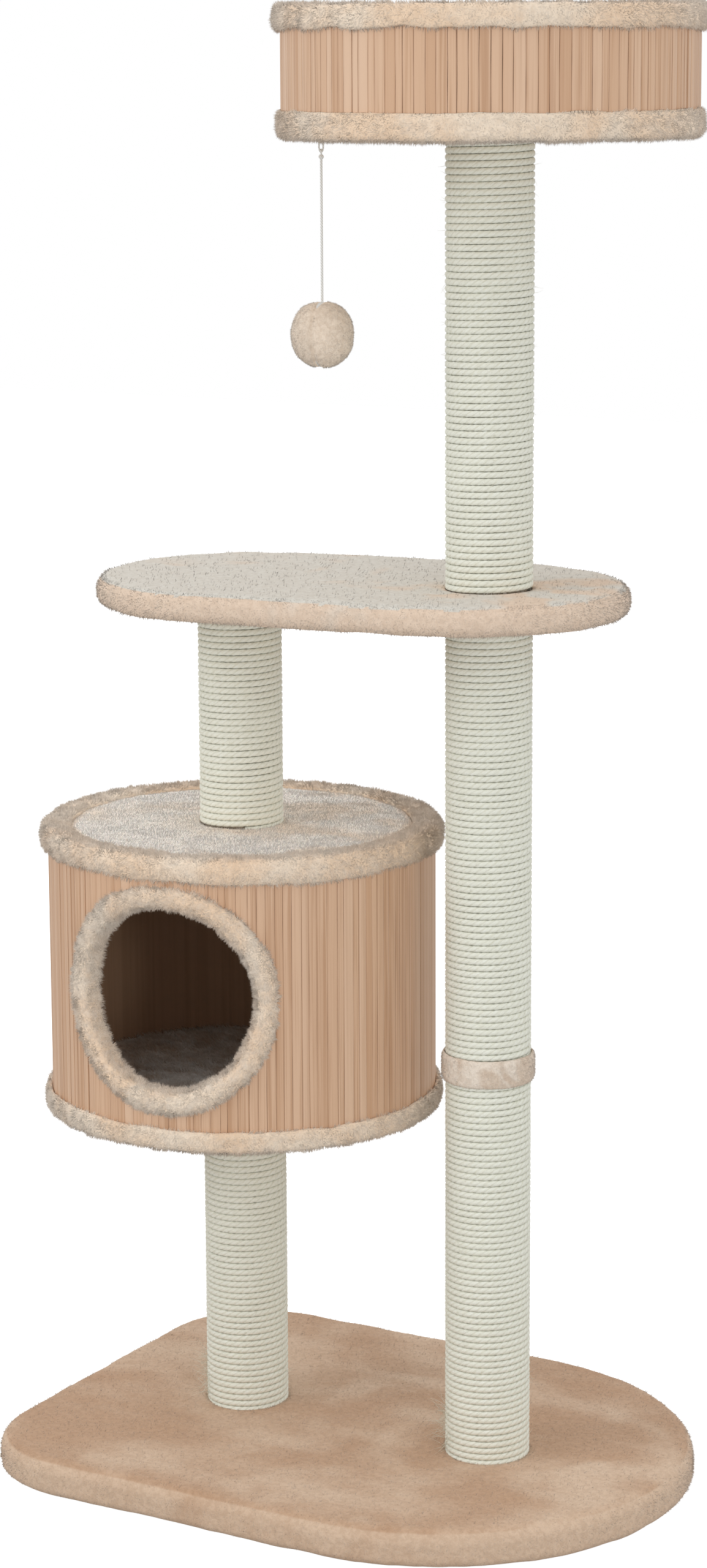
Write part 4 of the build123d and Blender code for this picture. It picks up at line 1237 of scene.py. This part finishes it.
# The platform: a racetrack-shaped board wrapped all round in plush, turned a little against the base. Posts
# press into it from below, and the last tall post stands on it.
PLATFORM_RADIUS = 148 * MM
PLATFORM_ROUND = 12 * MM
PLATFORM_PLUSH = 6 * MM
platform_low, platform_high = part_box("platform_cover")
left_centre = np.array([-102.7, -22.7]) * MM
right_centre = np.array([103.9, 5.0]) * MM
run_angle = math.degrees(math.atan2(right_centre[1] - left_centre[1], right_centre[0] - left_centre[0]))
platform_arcs = [
    (right_centre, PLATFORM_RADIUS, run_angle - 90, run_angle + 90),
    (left_centre, PLATFORM_RADIUS, run_angle + 90, run_angle + 270),
]
platform_outline = outline_of(platform_arcs, 560)
platform_middle = (left_centre + right_centre) / 2
board_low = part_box("platform_board")[0][2]
board_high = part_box("platform_board")[1][2]


def full_slab(side_section):
    """Rings over a whole slab: from the middle of its lower face, out, over its edge, and in again."""
    upper = slab_rows(platform_outline, side_section, platform_middle, 3 * MM)
    lower = slab_rows(platform_outline, side_section[:1], platform_middle, 3 * MM)
    return np.concatenate([lower[:0:-1], upper])


platform_side = [(PLATFORM_ROUND + 2.4 * MM, platform_low[2])]
platform_side += edge_arc(platform_low[2] + PLATFORM_ROUND, PLATFORM_ROUND, -90, 0, 9)
side_heights = np.arange(platform_low[2] + 14 * MM, platform_high[2] - 13 * MM, 2 * MM)
platform_side += [(0.0, height) for height in side_heights]
platform_side += edge_arc(platform_high[2] - PLATFORM_ROUND, PLATFORM_ROUND, 0, 90, 9)
platform_rows = full_slab(platform_side)
platform_points = platform_rows.reshape(-1, 3)
platform_points = press_at_posts(
    platform_points, platform_high[2], board_high + PRESSED_PILE - 0.4 * MM, 3 * MM, TALL_AXIS
)
platform_points = press_at_posts(
    platform_points, platform_low[2], board_low - PRESSED_PILE + 0.4 * MM, 3 * MM, TALL_AXIS, SHORT_AXIS
)
outer_points, outer_faces = skin_over(platform_points.reshape(platform_rows.shape))
cavity_side = [(PLATFORM_PLUSH, board_low), (PLATFORM_PLUSH, board_high)]
cavity_upper = slab_rows(platform_outline, cavity_side, platform_middle, 40 * MM)
cavity_points, cavity_faces = skin_over(cavity_upper[::-1], False, len(outer_points))
platform_skin = new_piece(
    "platform_plush", np.concatenate([outer_points, cavity_points]), outer_faces + cavity_faces
)
cavity = slice(len(outer_points), None)
ruffle(platform_skin, [(0.7 * MM, 30 * MM), (0.3 * MM, 9 * MM), (0.12 * MM, 4 * MM)], 101, cavity)
platform_plush = plush("platform_plush", (0.67, 0.65, 0.595), (0.74, 0.59, 0.465), 9.0, 0.16, 640.0, 0.22)


def platform_nap_and_sheen(points, normals):
    """Raised and pale on top, a painted sheen, and laid and warmer on the edge, beside the tall post and at
    the right end.
    """
    near_post = np.clip(1.6 - from_axis(points, TALL_AXIS) / (75 * MM), 0, 1)
    right_end = np.clip((points[:, 0] - 0.17) / 0.05, 0, 1)
    patches = soft_noise(points, 26 * MM, 107) + 0.5 * soft_noise(points, 11 * MM, 108)
    top = 1.0 - 1.1 * np.maximum(near_post, right_end) + 0.8 * patches * (0.25 + near_post + right_end)
    # Painted sheen: every upward face is paler than the edge.
    return np.where(normals[:, 2] > 0.72, top, -1.1 + 0.5 * patches)


lay_nap_and_painted_light(platform_skin, platform_nap_and_sheen)
set_down(platform_skin, platform_plush, "platform_plush", "platform_cover")


def platform_shown(points, normals):
    """Fibres over the platform, thickest on its edge, and none under the posts or round the board."""
    shown = np.full(len(points), 0.05)
    shown += 1.1 * (np.abs(normals[:, 2]) < 0.9)
    at_board = (points[:, 2] > board_low - 1e-5) & (points[:, 2] < board_high + 1e-5)
    for axis in (TALL_AXIS, SHORT_AXIS):
        under = (points[:, 2] < board_low) | np.allclose(axis, TALL_AXIS)
        shown[(from_axis(points, axis) < POST_RADIUS + 2 * MM) & under] = 0
    shown[at_board & (np.abs(normals[:, 2]) > 0.9)] = 0
    from_end = np.minimum(from_axis(points, left_centre), from_axis(points, right_centre))
    shown[at_board & (from_end < 0.13)] = 0
    return shown


platform_pile = add_pile(
    "platform_pile", platform_skin, 34000, 3.6 * MM, 0.7 * MM, 0.55, 105, platform_shown,
    (0.8, -0.5, -0.3), 9 * MM, platform_nap_and_sheen
)
set_down(platform_pile, platform_plush, "platform_plush")

# The bed: an open drum made like the house, on top of the last tall post. Plush covers it from below and
# turns up over the slats' lower ends. A strip of plush is folded over the top edge, and the inside is lined.
bed_slats = lay_slats("bed_bamboo_slats", "bed_bamboo", 111, 0.3 * MM)
set_down(bed_slats, bamboo, "bamboo", "bed_bamboo")
bed_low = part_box("bed_bottom_cover")[0][2]
bed_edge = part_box("bed_bottom_cover")[1][2]
bed_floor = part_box("bed_floor_board")[0][2]
bed_out = radius_of("bed_bottom_cover")
bed_bottom = bottom_cover(
    "bed_bottom_plush", TALL_AXIS, bed_floor, bed_low, bed_edge + PILE_PROUD, bed_out, 121
)
set_down(bed_bottom, trim_tan, "trim_plush", "bed_bottom_cover")


def bed_bottom_shown(points, normals):
    """Fibres on the turned-up edge, and thinner under the floor."""
    gap = from_axis(points, TALL_AXIS)
    edge = outside_of(TALL_AXIS, DRUM_RADIUS - 8 * MM)(points, normals)
    below = (normals[:, 2] < -0.5) * (gap > POST_RADIUS + 2 * MM) * (points[:, 2] < bed_floor - 1 * MM)
    return np.maximum(edge, 0.3 * below)


trim_pile("bed_bottom_pile", bed_bottom, 44000, 4.8 * MM, 123, bed_bottom_shown)

bed_rim_low, bed_rim_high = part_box("bed_rim_trim")
bed_rim_out = radius_of("bed_rim_trim")
bed_rim_edge = 1347.4 * MM
bed_hoop_inside = 177.5 * MM
bed_rim_in = 168 * MM
bed_rim_section = [
    (DRUM_RADIUS + 0.3 * MM, bed_rim_edge + 4 * MM),
    (DRUM_RADIUS + 2 * MM, bed_rim_edge + 1.8 * MM),
    (bed_rim_out - 5 * MM, bed_rim_edge + 3 * MM),
    (bed_rim_out - 3.6 * MM, bed_rim_edge + 8 * MM),
    (bed_rim_out - 4.2 * MM, bed_rim_high[2] - 4 * MM),
    (DRUM_RADIUS + 2 * MM, bed_rim_high[2] - 1 * MM),
    (bed_rim_in + 6 * MM, bed_rim_high[2] - 1.5 * MM),
    (bed_rim_in + 1 * MM, bed_rim_high[2] - 8 * MM),
    (bed_rim_in, bed_rim_low[2] + 3 * MM),
    (bed_rim_in + 4 * MM, bed_rim_low[2]),
    (bed_hoop_inside - 0.4 * MM, bed_rim_low[2] + 1 * MM),
    (bed_hoop_inside - 0.4 * MM, bed_rim_high[2] - 6.2 * MM),
    (DRUM_RADIUS + 0.3 * MM, bed_rim_high[2] - 5.8 * MM),
]
bed_rim_wave = (bed_rim_edge, bed_rim_high[2] - 6 * MM, 2.0 * MM)
bed_rim = trim_ring("bed_rim_plush", bed_rim_section, TALL_AXIS, bed_rim_wave, 131)
set_down(bed_rim, trim_tan, "trim_plush", "bed_rim_trim")


def bed_rim_shown(points, normals):
    """Fibres on all of the rim but the faces that lie against the slats and the hoop."""
    gap = from_axis(points, TALL_AXIS)
    within = (gap > bed_hoop_inside - 2 * MM) & (gap < DRUM_RADIUS + 1.2 * MM)
    return np.where(within & (points[:, 2] < bed_rim_high[2] - 3 * MM), 0.0, 1.0)


trim_pile("bed_rim_pile", bed_rim, 48000, 5.0 * MM, 133, bed_rim_shown)

lining_low, lining_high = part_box("bed_wall_lining")
lining_section = rounded_section(
    [
        (171.5 * MM, lining_low[2]),
        (bed_hoop_inside - 0.3 * MM, lining_low[2]),
        (bed_hoop_inside - 0.3 * MM, lining_high[2]),
        (171.5 * MM, lining_high[2]),
    ],
    2,
    2.4 * MM,
)
lining_rows = swept_round(lining_section, TALL_AXIS, 460)[0]
bed_lining = new_piece("bed_lining_plush", *skin_over(lining_rows, True))
ruffle(bed_lining, [(0.6 * MM, 20 * MM), (0.4 * MM, 6 * MM)], 141)
set_down(bed_lining, lining_plush, "lining_plush", "bed_wall_lining")

bed_mat_low, bed_mat_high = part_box("bed_floor_mat")
bed_mat_reach = radius_of("bed_floor_mat") - 0.4 * MM
bed_mat_under_radii = np.linspace(1 * MM, bed_mat_reach - 1 * MM, MAT_UNDER_RINGS)
bed_mat_section = [(radius, bed_mat_low[2]) for radius in bed_mat_under_radii]
bed_mat_section += [(bed_mat_reach, bed_mat_low[2] + 1.5 * MM), (bed_mat_reach, bed_mat_high[2] - 3 * MM)]
bed_mat_section += [(bed_mat_reach - 1.5 * MM, bed_mat_high[2] - 1 * MM)]
bed_mat_top_radii = np.arange(bed_mat_reach - 4 * MM, 2 * MM, -2.6 * MM)
bed_mat_section += [(radius, bed_mat_high[2]) for radius in bed_mat_top_radii]
BED_MAT_AROUND = 400
bed_mat_rows = swept_round(np.asarray(bed_mat_section), TALL_AXIS, BED_MAT_AROUND)[0]
bed_mat = new_piece("bed_mat_plush", *skin_over(bed_mat_rows))
bed_mat_under = slice(MAT_UNDER_RINGS * BED_MAT_AROUND)
bed_mat_tufts = [(1.2 * MM, 60 * MM), (0.6 * MM, 14 * MM), (0.4 * MM, 4 * MM)]
ruffle(bed_mat, bed_mat_tufts, 143, bed_mat_under, bed_mat_low[2])
set_down(bed_mat, lining_plush, "lining_plush", "bed_floor_mat")
bed_mat_pile = add_pile(
    "bed_mat_pile", bed_mat, 24000, 4.6 * MM, 0.9 * MM, 0.7, 145,
    facing_up(TALL_AXIS, 0.0, bed_mat_reach), (0.7, 0.5, 0.0), 12 * MM
)
set_down(bed_mat_pile, lining_plush, "lining_plush")


def facing_in(points, normals):
    """Fibres on the inner side of the lining."""
    away = points[:, :2] - TALL_AXIS
    return (away * normals[:, :2]).sum(axis=1) < -0.05


bed_lining_pile = add_pile(
    "bed_lining_pile", bed_lining, 22000, 4.2 * MM, 0.9 * MM, 0.5, 147, facing_in, (0, 0, -1), 9 * MM
)
set_down(bed_lining_pile, lining_plush, "lining_plush")

# The toy: a plush ball stuffed with wadding on a thin white string. The string is knotted to a thread loop,
# which hangs from a staple under the bed, so that the ball swings freely.
STRING_DIAMETER = 2.2 * MM
string_low, string_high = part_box("toy_string")
string_place = ((string_low[0] + string_high[0]) / 2, (string_low[1] + string_high[1]) / 2)
STRING_POINTS = [
    (6.1 * MM, -85.2 * MM, 1238.9 * MM),
    (6.1 * MM, -85.2 * MM, 1226 * MM),
    (6.1 * MM, -85.2 * MM, 1116 * MM),
    (6.1 * MM, -85.2 * MM, 1102 * MM),
]
curve = bpy.data.curves.new("toy_cord", "CURVE")
curve.dimensions = "3D"
curve.resolution_u = 24
curve.bevel_depth = STRING_DIAMETER / 2
curve.bevel_resolution = 4
curve.use_fill_caps = True
spline = curve.splines.new("NURBS")
spline.points.add(len(STRING_POINTS) - 1)
for place, point in zip(spline.points, STRING_POINTS):
    place.co = (*point, 1.0)
spline.order_u = 3
spline.use_endpoint_u = True
toy_cord = bpy.data.objects.new("toy_cord", curve)
bpy.context.scene.collection.objects.link(toy_cord)
string_white, shader = new_material("white_string", 0.8, 0.25)
nodes = string_white.node_tree.nodes
string_object = object_place(nodes)
plies = nodes.new("ShaderNodeTexWave")
plies.wave_type = "BANDS"
plies.bands_direction = "DIAGONAL"
plies.inputs["Scale"].default_value = 240.0
plies.inputs["Distortion"].default_value = 1.2
string_white.node_tree.links.new(string_object, plies.inputs["Vector"])
string_colour = colour_mix(nodes, plies.outputs["Fac"], (0.60, 0.59, 0.56, 1), (0.86, 0.86, 0.84, 1))
string_white.node_tree.links.new(string_colour, shader.inputs["Base Color"])
add_bump(string_white, shader, plies.outputs["Fac"], 0.5, 0.4 * MM)
set_down(toy_cord, string_white, "string", "toy_string", body="toy_ball")
refinish(string_white, "toy_knot")

loop_low, loop_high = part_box("toy_loop")
LOOP_THREAD = 0.75 * MM
LOOP_NARROW = 1.9 * MM
loop_middle = np.array([*string_place, (loop_low[2] + loop_high[2]) / 2])
loop_tall = (loop_high[2] - loop_low[2]) / 2 - LOOP_THREAD
loop_side = np.array([0.86667, 0.49889, 0.0])
way_round = 2 * np.pi * np.arange(60) / 60
thread_round = 2 * np.pi * np.arange(10) / 10
loop_line = LOOP_NARROW * np.sin(way_round)[:, None] * loop_side
loop_line = loop_line + loop_tall * np.cos(way_round)[:, None] * np.array([0, 0, 1.0])
loop_out = np.sin(way_round)[:, None] * loop_side * loop_tall
loop_out = loop_out + np.cos(way_round)[:, None] * np.array([0, 0, 1.0]) * LOOP_NARROW
loop_out = unit(loop_out)
loop_flat = np.cross(loop_side, [0, 0, 1.0])
loop_rows = loop_middle + loop_line[None] + LOOP_THREAD * (
    np.cos(thread_round)[:, None, None] * loop_out[None] + np.sin(thread_round)[:, None, None] * loop_flat
)
thread_loop = new_piece("toy_thread_loop", *skin_over(loop_rows, True))
set_down(thread_loop, string_white, "string", "toy_loop", body="toy_loop")

ball_low, ball_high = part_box("toy_ball_left_half")
BALL_RADIUS = 28 * MM
BALL_HALF_HEIGHT = (ball_high[2] - ball_low[2]) / 2
BALL_SKIN = 2.5 * MM
SEAM_TURN = math.radians(9)
ball_middle = np.array([string_place[0], string_place[1], (ball_low[2] + ball_high[2]) / 2])
BALL_RINGS = 96
BALL_AROUND = 150


def ball_rows(inset):
    """Rings of points over an egg, from its bottom to its top, a little flat at both ends."""
    rise = np.linspace(-np.pi / 2, np.pi / 2, BALL_RINGS)[1:-1]
    round_way = 2 * np.pi * np.arange(BALL_AROUND) / BALL_AROUND
    flat = 0.97 + 0.03 * np.cos(2 * rise)
    reach = (BALL_RADIUS - inset) * np.cos(rise) ** 0.92
    height = (BALL_HALF_HEIGHT - inset) * np.sin(rise) * flat
    rows = np.empty((len(rise), BALL_AROUND, 3))
    rows[:, :, 0] = ball_middle[0] + reach[:, None] * np.cos(round_way)
    rows[:, :, 1] = ball_middle[1] + reach[:, None] * np.sin(round_way)
    rows[:, :, 2] = ball_middle[2] + height[:, None]
    return rows


outer = ball_rows(0.3 * MM)
seam_normal = np.array([math.cos(SEAM_TURN), math.sin(SEAM_TURN), 0.0])
seam_gap = np.abs((outer - ball_middle) @ seam_normal)
groove = np.exp(-((seam_gap / (1.7 * MM)) ** 2)) * 1.6 * MM
pucker = 1 + 0.25 * np.sin(outer[:, :, 2] / (2.1 * MM))
from_centre = outer - ball_middle
outer = outer - unit(from_centre) * (groove * pucker)[:, :, None]
ball_points, ball_faces = skin_over(outer)
lining_points, lining_faces = skin_over(ball_rows(BALL_SKIN)[::-1], False, len(ball_points))
both_skins = np.concatenate([ball_points, lining_points])
toy_ball = new_piece("toy_ball_plush", both_skins, ball_faces + lining_faces)
ruffle(toy_ball, [(0.35 * MM, 12 * MM), (0.2 * MM, 3.5 * MM)], 151, slice(len(ball_points), None))
toy_plush = plush("toy_plush", (0.84, 0.71, 0.58), (0.74, 0.625, 0.51), 30.0, 0.12, 1000.0, 0.3)
set_down(toy_ball, toy_plush, "toy_plush", "toy_ball_left_half", "toy_ball_right_half", body="toy_ball")


def ball_shown(points, normals):
    """Short fibres all over the ball, thinner in its seam."""
    out = np.linalg.norm((points - ball_middle) / [BALL_RADIUS, BALL_RADIUS, BALL_HALF_HEIGHT], axis=1)
    seam = np.abs((points - ball_middle) @ seam_normal)
    return (out > 0.94) * (0.3 + 0.7 * (seam > 1.2 * MM))


toy_pile = add_pile(
    "toy_ball_pile", toy_ball, 14000, 1.9 * MM, 0.45 * MM, 0.4, 153, ball_shown, (0.2, 0, -1), 4 * MM
)
set_down(toy_pile, toy_plush, "toy_plush", body="toy_ball")
wadding, shader = new_material("white_wadding", 0.95, 0.1)
nodes = wadding.node_tree.nodes
wool = noise_node(nodes, object_place(nodes), 260.0, 6.0, 1.5)
wadding_colour = colour_mix(nodes, wool, (0.62, 0.61, 0.58, 1), (0.86, 0.86, 0.85, 1))
wadding.node_tree.links.new(wadding_colour, shader.inputs["Base Color"])
add_bump(wadding, shader, wool, 0.8, 1.5 * MM)
refinish(wadding, "toy_ball_filling")

# The studio: a white floor that the base stands on, a large soft light from the front left, a smaller one of
# the same power from the front right, a faint one from above, and white all round.
scene = bpy.context.scene
scene.view_settings.view_transform = "Standard"
FLOOR_REACH = 9
FLOOR_DROP = 0.2 * MM
floor_turns = ((-1, -1), (1, -1), (1, 1), (-1, 1))
floor_corners = [(x * FLOOR_REACH, y * FLOOR_REACH, -FLOOR_DROP) for x, y in floor_turns]
floor_mesh = bpy.data.meshes.new("studio_floor")
floor_mesh.from_pydata(floor_corners, [], [(0, 1, 2, 3)])
floor = bpy.data.objects.new("studio_floor", floor_mesh)
scene.collection.objects.link(floor)
floor_white, shader = new_material("white_floor", 0.9, 0.1)
nodes = floor_white.node_tree.nodes
speck = noise_node(nodes, object_place(nodes), 30.0, 4.0)
floor_colour = colour_mix(nodes, speck, (0.55, 0.55, 0.55, 1), (0.59, 0.59, 0.59, 1))
floor_white.node_tree.links.new(floor_colour, shader.inputs["Base Color"])
shader.inputs["Emission Color"].default_value = (1, 1, 1, 1)
to_camera = nodes.new("ShaderNodeLightPath").outputs["Is Camera Ray"]
floor_glow = math_node(nodes, "MULTIPLY", to_camera, 0.9)
floor_white.node_tree.links.new(floor_glow, shader.inputs["Emission Strength"])
floor_mesh.materials.append(floor_white)

world = bpy.data.worlds.new("studio_white")
scene.world = world
world.use_nodes = True
nodes = world.node_tree.nodes
sky = nodes["Background"]
sky.inputs["Color"].default_value = (1.0, 1.0, 1.0, 1)
sky.inputs["Strength"].default_value = 0.88
backdrop = nodes.new("ShaderNodeBackground")
backdrop.inputs["Color"].default_value = (1.0, 1.0, 1.0, 1)
backdrop.inputs["Strength"].default_value = 1.0
seen = nodes.new("ShaderNodeLightPath")
choice = nodes.new("ShaderNodeMixShader")
world.node_tree.links.new(seen.outputs["Is Camera Ray"], choice.inputs[0])
world.node_tree.links.new(sky.outputs[0], choice.inputs[1])
world.node_tree.links.new(backdrop.outputs[0], choice.inputs[2])
world.node_tree.links.new(choice.outputs[0], nodes["World Output"].inputs["Surface"])


def soft_light(name, place, aim, size, power):
    lamp = bpy.data.lights.new(name, "AREA")
    lamp.shape = "SQUARE"
    lamp.size = size
    lamp.energy = power
    holder = bpy.data.objects.new(name, lamp)
    holder.location = place
    holder.rotation_euler = (Vector(place) - Vector(aim)).to_track_quat("Z", "Y").to_euler()
    scene.collection.objects.link(holder)


soft_light("key_light", (-2.3, -2.5, 2.0), (0, 0, 0.7), 1.5, 22)
soft_light("fill_light", (2.9, -2.3, 1.0), (0, 0, 0.5), 0.8, 22)
soft_light("top_light", (-0.5, -1.6, 3.6), (0, 0, 0.6), 1.8, 7)

CAMERA_PLACE = (1.6905, -2.9585, 1.3436)
CAMERA_YAW = 0.522516
CAMERA_PITCH = 0.198010
CAMERA_ROLL = -0.0050196
ahead_level = Vector((-math.sin(CAMERA_YAW), math.cos(CAMERA_YAW), 0))
right_level = Vector((math.cos(CAMERA_YAW), math.sin(CAMERA_YAW), 0))
upward = Vector((0, 0, 1))
ahead = ahead_level * math.cos(CAMERA_PITCH) - upward * math.sin(CAMERA_PITCH)
above = upward * math.cos(CAMERA_PITCH) + ahead_level * math.sin(CAMERA_PITCH)
right = right_level * math.cos(CAMERA_ROLL) + above * math.sin(CAMERA_ROLL)
above = above * math.cos(CAMERA_ROLL) - right_level * math.sin(CAMERA_ROLL)
turned = Matrix((right, above, -ahead)).transposed().to_4x4()
lens = bpy.data.cameras.new("studio_camera")
lens.lens = 85.66
lens.sensor_width = 36
lens.sensor_fit = "AUTO"
camera = bpy.data.objects.new("studio_camera", lens)
camera.matrix_world = Matrix.Translation(CAMERA_PLACE) @ turned
scene.collection.objects.link(camera)
scene.camera = camera
